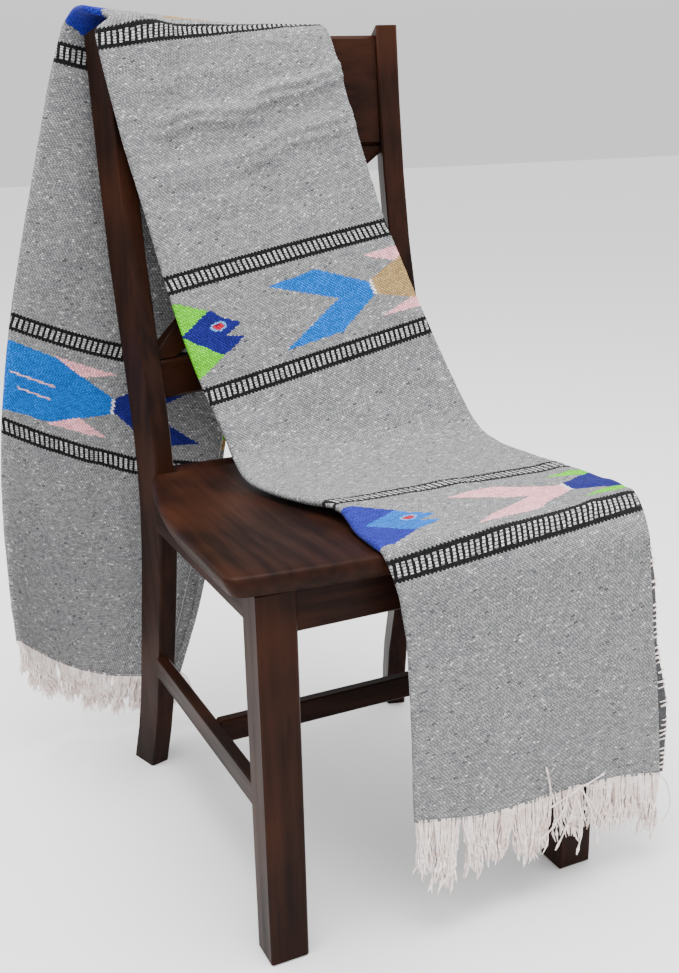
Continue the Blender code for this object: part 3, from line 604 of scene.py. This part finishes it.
# Shapes of one fish, nose at (0, 0) and tail at lower x; corners anticlockwise, in metres
fishShapes = [
    ("tail", [(-0.372, 0.036), (-0.284, -0.004), (-0.240, 0.006), (-0.305, 0.042)]),
    ("tail", [(-0.380, -0.046), (-0.302, -0.045), (-0.240, -0.009), (-0.286, 0.000)]),
    ("tail", [(-0.290, 0.004), (-0.280, -0.012), (-0.240, -0.009), (-0.240, 0.007)]),
    ("body", [(-0.240, -0.010), (-0.157, -0.043), (-0.095, -0.046), (-0.095, 0.047), (-0.157, 0.043),
              (-0.240, 0.010)]),
    ("body", [(-0.096, -0.046), (-0.072, -0.046), (-0.034, -0.028), (-0.034, 0.028), (-0.072, 0.048),
              (-0.096, 0.048)]),
    ("head", [(-0.078, 0.008), (-0.034, -0.029), (-0.022, -0.006), (-0.024, 0.020), (-0.034, 0.029)]),
    ("head", [(-0.036, 0.001), (-0.020, -0.004), (0.000, 0.004), (-0.026, 0.020), (-0.036, 0.022)]),
    ("head", [(-0.036, -0.027), (-0.024, -0.024), (-0.002, -0.013), (-0.026, -0.005), (-0.036, -0.005)]),
    ("fins", [(-0.238, 0.043), (-0.198, 0.026), (-0.152, 0.046)]),
    ("fins", [(-0.242, -0.041), (-0.155, -0.045), (-0.195, -0.027)]),
    ("joint", [(-0.243, -0.010), (-0.239, -0.010), (-0.239, 0.010), (-0.243, 0.010)]),
    ("lines", [(-0.160, -0.0065), (-0.098, -0.0070), (-0.098, -0.0045), (-0.160, -0.0035)]),
    ("lines", [(-0.156, 0.0120), (-0.110, 0.0110), (-0.110, 0.0135), (-0.156, 0.0145)]),
    ("lines", [(-0.0925, 0.0080), (-0.085, 0.0080), (-0.085, 0.0240), (-0.0925, 0.0220)]),
]
# Half height of the fish as drawn above, and the eye: its middle, how flat it is, and its three rings
fishHalf = 0.061
eye = {"x": -0.0290, "y": 0.0075, "flat": 0.62, "ring": 0.0060, "iris": 0.0040, "pupil": 0.0030}
weave = {"pick": 0.0020, "bead": 0.0040, "slant": 0.12, "step": 0.41, "uneven": 0.30, "snap": 0.75}
ladder = {"pitch": 0.0071, "dash": 0.0029, "rungHalf": 0.0066, "halfHeight": 0.0102,
          "cordBulge": 0.0018, "cordTurn": 0.0046, "lean": 22.0}
greys = {"low": (0.150, 0.151, 0.156, 1), "high": (0.310, 0.310, 0.311, 1), "pale": (0.62, 0.61, 0.60, 1),
         "dark": (0.040, 0.041, 0.046, 1), "cloud": (0.17, 0.17, 0.20, 1)}
# Widths of the painted shade along the front drop's edges and of the pale edge on the back drop, and where
# they end or start
selvage = {"dark": 0.0110, "darkTo": 0.31, "pale": 0.0016, "paleFrom": 1.72}


def serapeMaterial():
    material, n = newMaterial("serapeWeave", 0.94, 0.06)
    uvNode = n.tree.nodes.new("ShaderNodeUVMap")
    uvNode.uv_map = "weave"
    uv = uvNode.outputs[0]
    parts = n.tree.nodes.new("ShaderNodeSeparateXYZ")
    n.put(parts.inputs[0], uv)
    u, v = parts.outputs[0], parts.outputs[1]

    # weft beads over the warps: each pick starts a little further on, so the beads run in slanting ribs
    pick, bead = weave["pick"], weave["bead"]
    slanted = n.minus(v, n.times(u, weave["slant"]))
    pickPlace = n.math("DIVIDE", slanted, pick)
    pickNumber = n.math("FLOOR", pickPlace)
    inPick = n.math("FRACT", pickPlace)
    unevenness = n.times(n.chance(n.combine(pickNumber, 7.0)), weave["uneven"])
    shiftOn = n.plus(n.times(pickNumber, weave["step"]), unevenness)
    beadPlace = n.plus(n.math("DIVIDE", u, bead), shiftOn)
    beadNumber = n.math("FLOOR", beadPlace)
    inBead = n.math("FRACT", beadPlace)
    chance = n.chance(n.combine(beadNumber, pickNumber, 3.0))
    tonePlace = n.combine(n.times(beadNumber, 0.55), n.times(pickNumber, 3.7))
    yarnTone = n.noise(tonePlace, 1.0, 1.0)
    tone = n.plus(n.times(chance, 0.55), n.times(yarnTone, 0.45))
    crown = n.times(n.math("SINE", n.times(inBead, math.pi)), n.math("SINE", n.times(inPick, math.pi)))
    shade = n.spread(crown, 0.0, 0.62, 0.30, 1.14)

    # an edge of colour runs between the beads, unevenly
    beadMiddle = n.times(n.minus(n.plus(beadNumber, 0.5), shiftOn), bead)
    pickMiddle = n.plus(n.times(n.plus(pickNumber, 0.5), pick), n.times(u, weave["slant"]))
    uStep = n.pick(weave["snap"], u, beadMiddle)
    vStep = n.pick(weave["snap"], v, pickMiddle)

    # which row, and the place within it
    x, y, whichRow, rowPitch, fromBand = 0.0, 9.0, 0.0, 0.4, 9.0
    for number, row in enumerate(fishRows):
        away = n.minus(v, row["centre"])
        here = n.below(n.math("ABSOLUTE", away), row["bands"] + 0.020)
        off = n.times(n.minus(vStep, row["centre"]), fishHalf / row["half"])
        x = n.pick(here, x, n.minus(uStep, row["nose"]))
        y = n.pick(here, y, off)
        whichRow = n.pick(here, whichRow, float(number))
        rowPitch = n.pick(here, rowPitch, row["pitch"])
        fromBand = n.pick(here, fromBand, n.minus(n.math("ABSOLUTE", away), row["bands"]))
    fishIndex = n.math("CEIL", n.math("DIVIDE", x, rowPitch))
    x = n.minus(x, n.times(fishIndex, rowPitch))
    point = n.combine(x, y, 1.0)

    # heathered grey ground
    cloud = n.noise(n.stretched(uv, (7.0, 70.0, 1.0)), 1.0, 3.0, 0.55)
    ground = n.mix(n.spread(tone, 0.20, 0.80), greys["low"], greys["high"])
    ground = n.mix(n.spread(chance, 0.960, 0.995, 0.0, 0.75), ground, greys["pale"])
    ground = n.mix(n.spread(chance, 0.012, 0.004, 0.0, 0.75), ground, greys["dark"])
    ground = n.mix(n.spread(cloud, 0.40, 0.75, 0.0, 0.20), ground, greys["cloud"])

    # the colours of this fish
    chosen = {"head": azure, "body": royal, "tail": pink, "fins": lime, "joint": white, "lines": dustyPink}
    for rowNumber, fishNumber, head, body, tail, fins in fishColors:
        mine = n.times(n.math("COMPARE", whichRow, float(rowNumber), 0.1),
                       n.math("COMPARE", fishIndex, float(fishNumber), 0.1))
        for part, tint in (("head", head), ("body", body), ("tail", tail), ("fins", fins)):
            chosen[part] = n.mix(mine, chosen[part], tint)
    lastRow = n.math("COMPARE", whichRow, 3.0, 0.1)
    wool = n.spread(tone, 0.20, 0.80, 0.74, 1.24)
    color = ground
    for part, corners in fishShapes:
        mask = n.inside(point, corners)
        if part == "lines":
            mask = n.times(mask, lastRow)
        color = n.mix(mask, color, n.scaled(chosen[part], wool))
    eyeX = n.times(n.minus(x, eye["x"]), eye["flat"])
    eyeY = n.minus(y, eye["y"])
    away = n.math("SQRT", n.plus(n.times(eyeX, eyeX), n.times(eyeY, eyeY)))
    color = n.mix(n.below(away, eye["ring"]), color, paleBlue)
    color = n.mix(n.below(away, eye["iris"]), color, red)
    pupil = n.below(n.math("FRACT", n.times(x, 260.0)), 0.30)
    color = n.mix(n.times(n.below(away, eye["pupil"]), pupil), color, darkRed)

    # ladder bands: two black cords with pale rungs between, each rung a few picks high
    bandEdge = n.math("ABSOLUTE", fromBand)
    cords = n.math("ABSOLUTE", n.math("SINE", n.times(u, math.pi / ladder["cordTurn"])))
    cordEdge = n.plus(ladder["halfHeight"], n.times(cords, ladder["cordBulge"]))
    rung = n.plus(n.math("DIVIDE", u, ladder["pitch"]), n.times(fromBand, ladder["lean"]))
    rungNumber = n.math("FLOOR", rung)
    rungStart = n.chance(n.combine(rungNumber, 1.0, 9.0))
    dashPlace = n.plus(n.math("DIVIDE", fromBand, ladder["dash"]), rungStart)
    dashTone = n.chance(n.combine(rungNumber, n.math("FLOOR", dashPlace), 5.0))
    rungEdge = n.spread(dashTone, 0.0, 1.0, 0.38, 0.56)
    onRung = n.times(n.below(rungEdge, n.math("FRACT", rung)), n.below(bandEdge, ladder["rungHalf"]))
    dashGap = n.spread(n.math("FRACT", dashPlace), 0.26, 0.40, 0.06, 1.0)
    paleRung = n.mix(dashTone, (0.26, 0.26, 0.265, 1), (0.66, 0.66, 0.65, 1))
    color = n.mix(n.below(bandEdge, cordEdge), color, n.scaled(black, wool))
    color = n.mix(n.times(onRung, dashGap), color, paleRung)
    plain = n.minus(1.0, n.times(n.below(bandEdge, cordEdge), 0.6))
    color = n.scaled(color, n.pick(plain, 1.0, shade))

    # painted shade darkens the front drop's selvages, where the yarn stitches lie, and a pale thread runs on
    # the back drop's
    edge = n.math("MINIMUM", u, n.minus(4 * width, u))
    edgeShadeMask = n.times(n.below(edge, selvage["dark"]), n.below(v, selvage["darkTo"]))
    color = n.mix(n.times(edgeShadeMask, 0.85), color, n.scaled(paintedEdgeShade, wool))
    onThread = n.times(n.below(u, selvage["pale"]), n.below(selvage["paleFrom"], v))
    color = n.mix(n.times(onThread, 0.55), color, oatmeal)
    n.put(n.shader.inputs["Base Color"], color)

    fuzz = n.noise(n.stretched(uv, (900.0, 900.0, 1.0)), 1.0, 1.0)
    n.bump(n.plus(crown, n.times(fuzz, 0.35)), 0.60, 0.0008)
    n.shader.inputs["Sheen Weight"].default_value = 0.06
    n.shader.inputs["Sheen Roughness"].default_value = 0.5
    return material


cloth = newObject("serapeCloth", ribbonMesh(), serapeMaterial())
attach(cloth, "root")
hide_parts("serape_outer_layers", "serape_inner_layers")
print("cloth done", len(cloth.data.polygons))


# Fringe: twisted warp ends in loose bunches

def yarnMaterial():
    material, n = newMaterial("fringeYarn", 0.85, 0.10)
    place = n.tree.nodes.new("ShaderNodeTexCoord").outputs["Object"]
    tone = n.noise(place, 70.0, 3.0, 0.6)
    tint = n.mix(n.spread(tone, 0.32, 0.62), (0.80, 0.63, 0.57, 1), (0.97, 0.89, 0.86, 1))
    n.put(n.shader.inputs["Base Color"], tint)
    n.bump(n.noise(place, 1900.0, 2.0), 0.4, 0.0004)
    n.shader.inputs["Sheen Weight"].default_value = 0.20
    return material


yarn = yarnMaterial()


# Geometry nodes that turn drawn lines into twisted two-ply yarn
def yarnNodes():
    tree = bpy.data.node_groups.new("yarnFromLines", "GeometryNodeTree")
    face = tree.interface
    face.new_socket("Lines", in_out="INPUT", socket_type="NodeSocketGeometry")
    sockets = {
        "sides": face.new_socket("Sides", in_out="INPUT", socket_type="NodeSocketInt").identifier,
        "ply": face.new_socket("Ply Flatness", in_out="INPUT", socket_type="NodeSocketFloat").identifier,
        "twist": face.new_socket("Twist per Point", in_out="INPUT", socket_type="NodeSocketFloat").identifier,
        "finish": face.new_socket("Finish", in_out="INPUT", socket_type="NodeSocketMaterial").identifier,
    }
    face.new_socket("Yarn", in_out="OUTPUT", socket_type="NodeSocketGeometry")
    kinds = {
        "given": "NodeGroupInput", "curve": "GeometryNodeMeshToCurve", "tilt": "GeometryNodeSetCurveTilt",
        "circle": "GeometryNodeCurvePrimitiveCircle", "flat": "GeometryNodeTransform",
        "scale": "ShaderNodeCombineXYZ", "thickness": "GeometryNodeInputNamedAttribute",
        "turn": "GeometryNodeInputNamedAttribute", "angle": "ShaderNodeMath",
        "sweep": "GeometryNodeCurveToMesh", "smooth": "GeometryNodeSetShadeSmooth",
        "real": "GeometryNodeRealizeInstances", "paint": "GeometryNodeSetMaterial",
        "result": "NodeGroupOutput",
    }
    made = {label: tree.nodes.new(kind) for label, kind in kinds.items()}
    made["angle"].operation = "MULTIPLY"
    made["thickness"].inputs["Name"].default_value = "thickness"
    made["turn"].inputs["Name"].default_value = "pointNumber"
    made["circle"].inputs["Radius"].default_value = 1.0
    made["scale"].inputs[0].default_value = 1.0
    made["scale"].inputs[2].default_value = 1.0
    made["sweep"].inputs["Fill Caps"].default_value = True
    wires = [
        ("given", "Lines", "curve", "Mesh"), ("turn", 0, "angle", 0),
        ("given", "Twist per Point", "angle", 1), ("curve", 0, "tilt", "Curve"),
        ("angle", 0, "tilt", "Tilt"), ("given", "Sides", "circle", "Resolution"),
        ("given", "Ply Flatness", "scale", 1), ("circle", 0, "flat", "Geometry"),
        ("scale", 0, "flat", "Scale"),
        ("tilt", 0, "sweep", "Curve"), ("flat", 0, "sweep", "Profile Curve"),
        ("thickness", 0, "sweep", "Scale"), ("sweep", 0, "smooth", "Geometry"),
        ("smooth", 0, "real", "Geometry"), ("real", 0, "paint", "Geometry"),
        ("given", "Finish", "paint", "Material"), ("paint", 0, "result", 0),
    ]
    for source, output, target, socket in wires:
        tree.links.new(made[source].outputs[output], made[target].inputs[socket])
    return tree, sockets


yarnTree, yarnSockets = yarnNodes()
ply = {"sides": 6, "ply": 0.74, "twist": 1.1, "finish": yarn}


# A plain mesh of many yarns; each is (points, radii)
def yarns(name, strands):
    verts, edges, radii, numbers = [], [], [], []
    for points, thicknesses in strands:
        first = len(verts)
        verts += [tuple(np.asarray(point) + shift) for point in points]
        radii += list(thicknesses)
        numbers += list(range(len(points)))
        edges += [(first + k, first + k + 1) for k in range(len(points) - 1)]
    lines = bpy.data.meshes.new(name + "Lines")
    lines.from_pydata(verts, edges, [])
    for label, values in (("thickness", radii), ("pointNumber", numbers)):
        lines.attributes.new(label, "FLOAT", "POINT").data.foreach_set("value", np.array(values, np.float32))
    drawn = newObject(name + "Lines", lines)
    modifier = drawn.modifiers.new("yarn", "NODES")
    modifier.node_group = yarnTree
    for key, value in ply.items():
        modifier[yarnSockets[key]] = value
    evaluated = drawn.evaluated_get(bpy.context.evaluated_depsgraph_get())
    mesh = bpy.data.meshes.new_from_object(evaluated)
    drawn.modifiers.remove(modifier)
    bpy.data.objects.remove(drawn)
    bpy.data.meshes.remove(lines)
    for label in ("thickness", "pointNumber"):
        if label in mesh.attributes:
            mesh.attributes.remove(mesh.attributes[label])
    faceOutwards(mesh)
    mesh.name = name
    made = newObject(name, mesh)
    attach(made, "root")
    return made


def hemPoint(rowIndex, share, depth):
    ones = np.ones((len(rows), 1))
    points = onForm(ones * share, ones * depth, ones * 0.0)[:, 0]
    inward = points[rowIndex] - points[rowIndex + 1 if rowIndex >= 0 else rowIndex - 1]
    return points[rowIndex], inward / np.linalg.norm(inward)


yarnEnd = {"steps": 13, "thinnest": 0.00115, "thickest": 0.00165, "knotFrom": 0.74, "knotTo": 0.90,
           "tucked": 0.003}


# One yarn leaves the hem along the cloth, then hangs, wavers and ends in a small knot and a wisp
def strand(rng, start, outward, sideways, length, waver):
    points, radii = [], []
    phase = [rng.uniform(0, 6.28) for _ in range(2)]
    sway = waver * rng.uniform(0.4, 1.3)
    knotAt = rng.uniform(yarnEnd["knotFrom"], yarnEnd["knotTo"])
    thick = rng.uniform(yarnEnd["thinnest"], yarnEnd["thickest"])
    at = start - outward * yarnEnd["tucked"]
    steps = yarnEnd["steps"]
    for k in range(steps):
        t = k / (steps - 1)
        points.append(at.copy())
        radius = thick * (1 - 0.28 * t) + 0.9 * thick * math.exp(-((t - knotAt) / 0.05) ** 2)
        radii.append(radius * (0.5 if k == steps - 1 else 1.0))
        heading = outward * max(1 - 2.2 * t, 0) + np.array([0, 0, -min(0.25 + 2.0 * t, 1.0)])
        heading = heading + sideways * (0.6 + 0.6 * t)
        heading[0] += 0.34 * sway * math.sin(5.5 * t + phase[0]) * t
        heading[1] += 0.20 * sway * math.sin(6.5 * t + phase[1]) * t
        at = at + heading / np.linalg.norm(heading) * length / (steps - 1)
    return points, radii


# Yarns that stand off: share of the hem, then steps away from it in metres
looseYarn = {"points": 14, "thick": 0.0014, "knot": 1.7}


def loose(rowIndex, paths):
    made = []
    count = looseYarn["points"]
    for share, steps in paths:
        start = hemPoint(rowIndex, share, 0.0004)[0]
        places = np.linspace(0, 1, len(steps) + 1)
        points = throughPoints(places, np.array([(0.0, 0.0, 0.0)] + steps), np.linspace(0, 1, count)) + start
        radii = [looseYarn["thick"] * (1.0 - 0.2 * k / (count - 1)) for k in range(count)]
        radii[-2] *= looseYarn["knot"]
        made.append((points, radii))
    return made


# Depths in the stack at which its four layers' yarns leave the hem
fringeDepths = (0.0004, 0.0018, 0.0034, 0.0050, 0.0066)


def fringe(name, node, rowIndex, sizes, extra):
    rng = random.Random(sizes["seed"])
    strands = []
    for b in range(sizes["bunches"]):
        centre = (b + 0.5 + rng.uniform(-0.25, 0.25)) / sizes["bunches"]
        lean = np.array([rng.uniform(-0.16, 0.16), rng.uniform(-0.08, 0.08), 0.0])
        bunchLength = rng.uniform(sizes["shortest"], sizes["longest"])
        for s in range(sizes["yarns"]):
            across = (s + 0.5) / sizes["yarns"] - 0.5 + rng.uniform(-0.08, 0.08)
            share = min(max(centre + 1.15 * across / sizes["bunches"], 0.001), 1.006)
            if sizes["thinFrom"] < share < sizes["thinTo"] and rng.random() < sizes["thinBy"]:
                continue
            start, outward = hemPoint(rowIndex, share, rng.choice(fringeDepths))
            stray = np.array([rng.uniform(-0.12, 0.12), rng.uniform(-0.08, 0.08), 0])
            pull = lean + np.array([-across * sizes["gather"], 0.0, 0.0]) + stray
            length = bunchLength * (1 - 1.5 * across * across) * rng.uniform(0.78, 1.06)
            strands.append(strand(rng, start, outward, pull, length, sizes["waver"]))
    made = yarns(name, strands + extra)
    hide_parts(node)
    print(name, len(made.data.polygons))
    return made


# The front fringe is thinner where the leg shows through it, between two shares of the hem
frontFringe = {"bunches": 19, "yarns": 50, "shortest": 0.062, "longest": 0.094, "gather": 0.36, "waver": 1.2,
               "thinFrom": 0.53, "thinTo": 0.68, "thinBy": 0.62, "seed": 11}
backFringe = {"bunches": 19, "yarns": 46, "shortest": 0.048, "longest": 0.074, "gather": 0.45, "waver": 2.0,
              "thinFrom": 0.0, "thinTo": 0.0, "thinBy": 0.0, "seed": 12}
frontLoose = [
    (0.520, [(-0.003, -0.005, 0.010), (-0.006, -0.006, 0.024), (-0.011, -0.006, 0.043)]),
    (0.640, [(0.008, -0.006, 0.004), (0.018, -0.008, 0.009), (0.030, -0.008, 0.013)]),
    (0.660, [(-0.016, -0.007, 0.001), (-0.032, -0.008, -0.004), (-0.050, -0.007, -0.011)]),
    (0.660, [(0.010, -0.008, 0.001), (0.022, -0.010, -0.003), (0.032, -0.008, -0.010)]),
    (0.630, [(-0.010, -0.010, -0.020), (-0.022, -0.012, -0.044), (-0.034, -0.012, -0.066)]),
    (0.620, [(0.002, -0.012, -0.022), (0.004, -0.014, -0.050), (-0.002, -0.014, -0.080)]),
    (0.640, [(0.012, -0.010, -0.020), (0.024, -0.012, -0.042), (0.036, -0.012, -0.062)]),
    (0.650, [(0.006, -0.011, -0.024), (0.014, -0.013, -0.050), (0.018, -0.013, -0.076)]),
    (0.600, [(-0.012, -0.010, -0.016), (-0.028, -0.012, -0.034), (-0.044, -0.011, -0.048)]),
    (0.995, [(0.009, -0.003, -0.008), (0.017, -0.004, -0.030), (0.017, -0.004, -0.052),
             (0.008, -0.003, -0.066)]),
]
backLoose = [
    (0.985, [(0.004, 0.000, -0.014), (0.010, -0.002, -0.034), (0.008, -0.002, -0.056)]),
    (0.995, [(0.008, 0.000, -0.012), (0.018, -0.002, -0.030), (0.024, -0.002, -0.050)]),
    (1.000, [(0.010, -0.001, -0.010), (0.014, -0.003, -0.028), (0.012, -0.002, -0.052)]),
]
fringeFront = fringe("fringeFront", "fringe_front", 0, frontFringe, loose(0, frontLoose))
fringeBack = fringe("fringeBack", "fringe_back", -1, backFringe, loose(-1, backLoose))


# Whip stitches over the free selvage at the right of the front drop
stitch = {"lastRow": 52, "made": 0.62, "shortest": 0.018, "longest": 0.034, "thick": 0.0012, "seed": 21}


def whipStitches():
    rng = random.Random(stitch["seed"])
    under = fold["bottom"]
    strands = []
    for rowIndex in range(1, stitch["lastRow"]):
        if rng.random() > stitch["made"]:
            continue
        edge = float(ribbonShare[rowIndex, 0])
        inset = rng.uniform(stitch["shortest"], stitch["longest"])
        path = [(edge - inset, under - 0.0014), (edge - 0.010, under - 0.0022),
                (edge + 0.003, under - 0.0010), (edge + 0.004, under + 0.0008),
                (edge - 0.008, under + 0.0019)]
        points = []
        for k, (share, depth) in enumerate(path):
            rise = rng.uniform(-0.001, 0.001) + 0.0012 * k
            points.append(hemPoint(rowIndex, share, depth)[0] + np.array([0, 0, rise]))
        strands.append((points, [stitch["thick"] * rng.uniform(0.7, 1.4)] * len(points)))
    return yarns("selvageStitches", strands)


stitches = whipStitches()
print("fringe and stitches done")


# Stage, light and camera

# The world's strength by direction: axis, then from two values of it to two strengths, multiplied
worldGlow = [("Z", (0.05, 0.85, 0.98, 1.75)), ("X", (-0.95, 0.10, 0.62, 1.03))]


def stage():
    material, n = newMaterial("stagePale", 0.9, 0.1)
    n.shader.inputs["Base Color"].default_value = (0.90, 0.90, 0.90, 1)
    mesh = bpy.data.meshes.new("floor")
    reach = 14.0
    corners = [(-reach, -reach, 0), (reach, -reach, 0), (reach, reach, 0), (-reach, reach, 0)]
    mesh.from_pydata(corners, [], [(0, 1, 2, 3)])
    floor = newObject("floor", mesh, material)
    world = bpy.data.worlds.new("paleRoom")
    bpy.context.scene.world = world
    world.use_nodes = True
    # brighter overhead than at the sides, as under a wide soft box, and dimmer from the picture's left
    tree = world.node_tree
    direction = tree.nodes.new("ShaderNodeTexCoord").outputs["Generated"]
    axes = tree.nodes.new("ShaderNodeSeparateXYZ")
    tree.links.new(direction, axes.inputs[0])
    both = tree.nodes.new("ShaderNodeMath")
    both.operation = "MULTIPLY"
    for place, (axis, values) in enumerate(worldGlow):
        glow = tree.nodes.new("ShaderNodeMapRange")
        tree.links.new(axes.outputs[axis], glow.inputs["Value"])
        for socket, value in zip(("From Min", "From Max", "To Min", "To Max"), values):
            glow.inputs[socket].default_value = value
        tree.links.new(glow.outputs[0], both.inputs[place])
    tree.links.new(both.outputs[0], tree.nodes["Background"].inputs["Strength"])
    tree.nodes["Background"].inputs["Color"].default_value = (1.0, 1.0, 1.0, 1)


def areaLight(name, place, aim, size, energy):
    light = bpy.data.lights.new(name, "AREA")
    light.size = size
    light.energy = energy
    made = newObject(name, light)
    made.location = Vector(place)
    made.rotation_euler = (Vector(aim) - Vector(place)).to_track_quat("-Z", "Y").to_euler()


stage()
areaLight("overhead", (-0.3, -0.5, 3.4), (0.0, 0.0, 0.4), 2.2, 200)
areaLight("key", (-0.9, -3.0, 2.0), (0.0, 0.0, 0.5), 1.6, 24)
areaLight("side", (2.6, -1.4, 1.5), (0.0, 0.0, 0.5), 1.6, 20)
areaLight("back", (-1.8, 2.2, 2.4), (0.0, 0.1, 0.6), 1.6, 20)

# The photo's camera, worked out from the chair's corners
yaw, pitchDown, roll = 0.4388, 0.311, -0.0221
flatShare = math.cos(pitchDown)
ahead = Vector((math.sin(yaw) * flatShare, math.cos(yaw) * flatShare, -math.sin(pitchDown)))
level = Vector((math.cos(yaw), -math.sin(yaw), 0.0))
upright = level.cross(ahead)
right = math.cos(roll) * level + math.sin(roll) * upright
up = -math.sin(roll) * level + math.cos(roll) * upright
cameraData = bpy.data.cameras.new("camera")
focalPixels, pictureHeight, sensor = 1190.0, 973.0, 36.0
cameraData.lens = focalPixels / pictureHeight * sensor
cameraData.clip_end = 60.0
camera = newObject("camera", cameraData)
turned = Matrix((right, up, -ahead)).transposed().to_4x4()
stand = Vector((-0.5863, -1.2104, 0.8869)) + Vector(shift)
camera.matrix_world = Matrix.Translation(stand) @ turned
bpy.context.scene.camera = camera
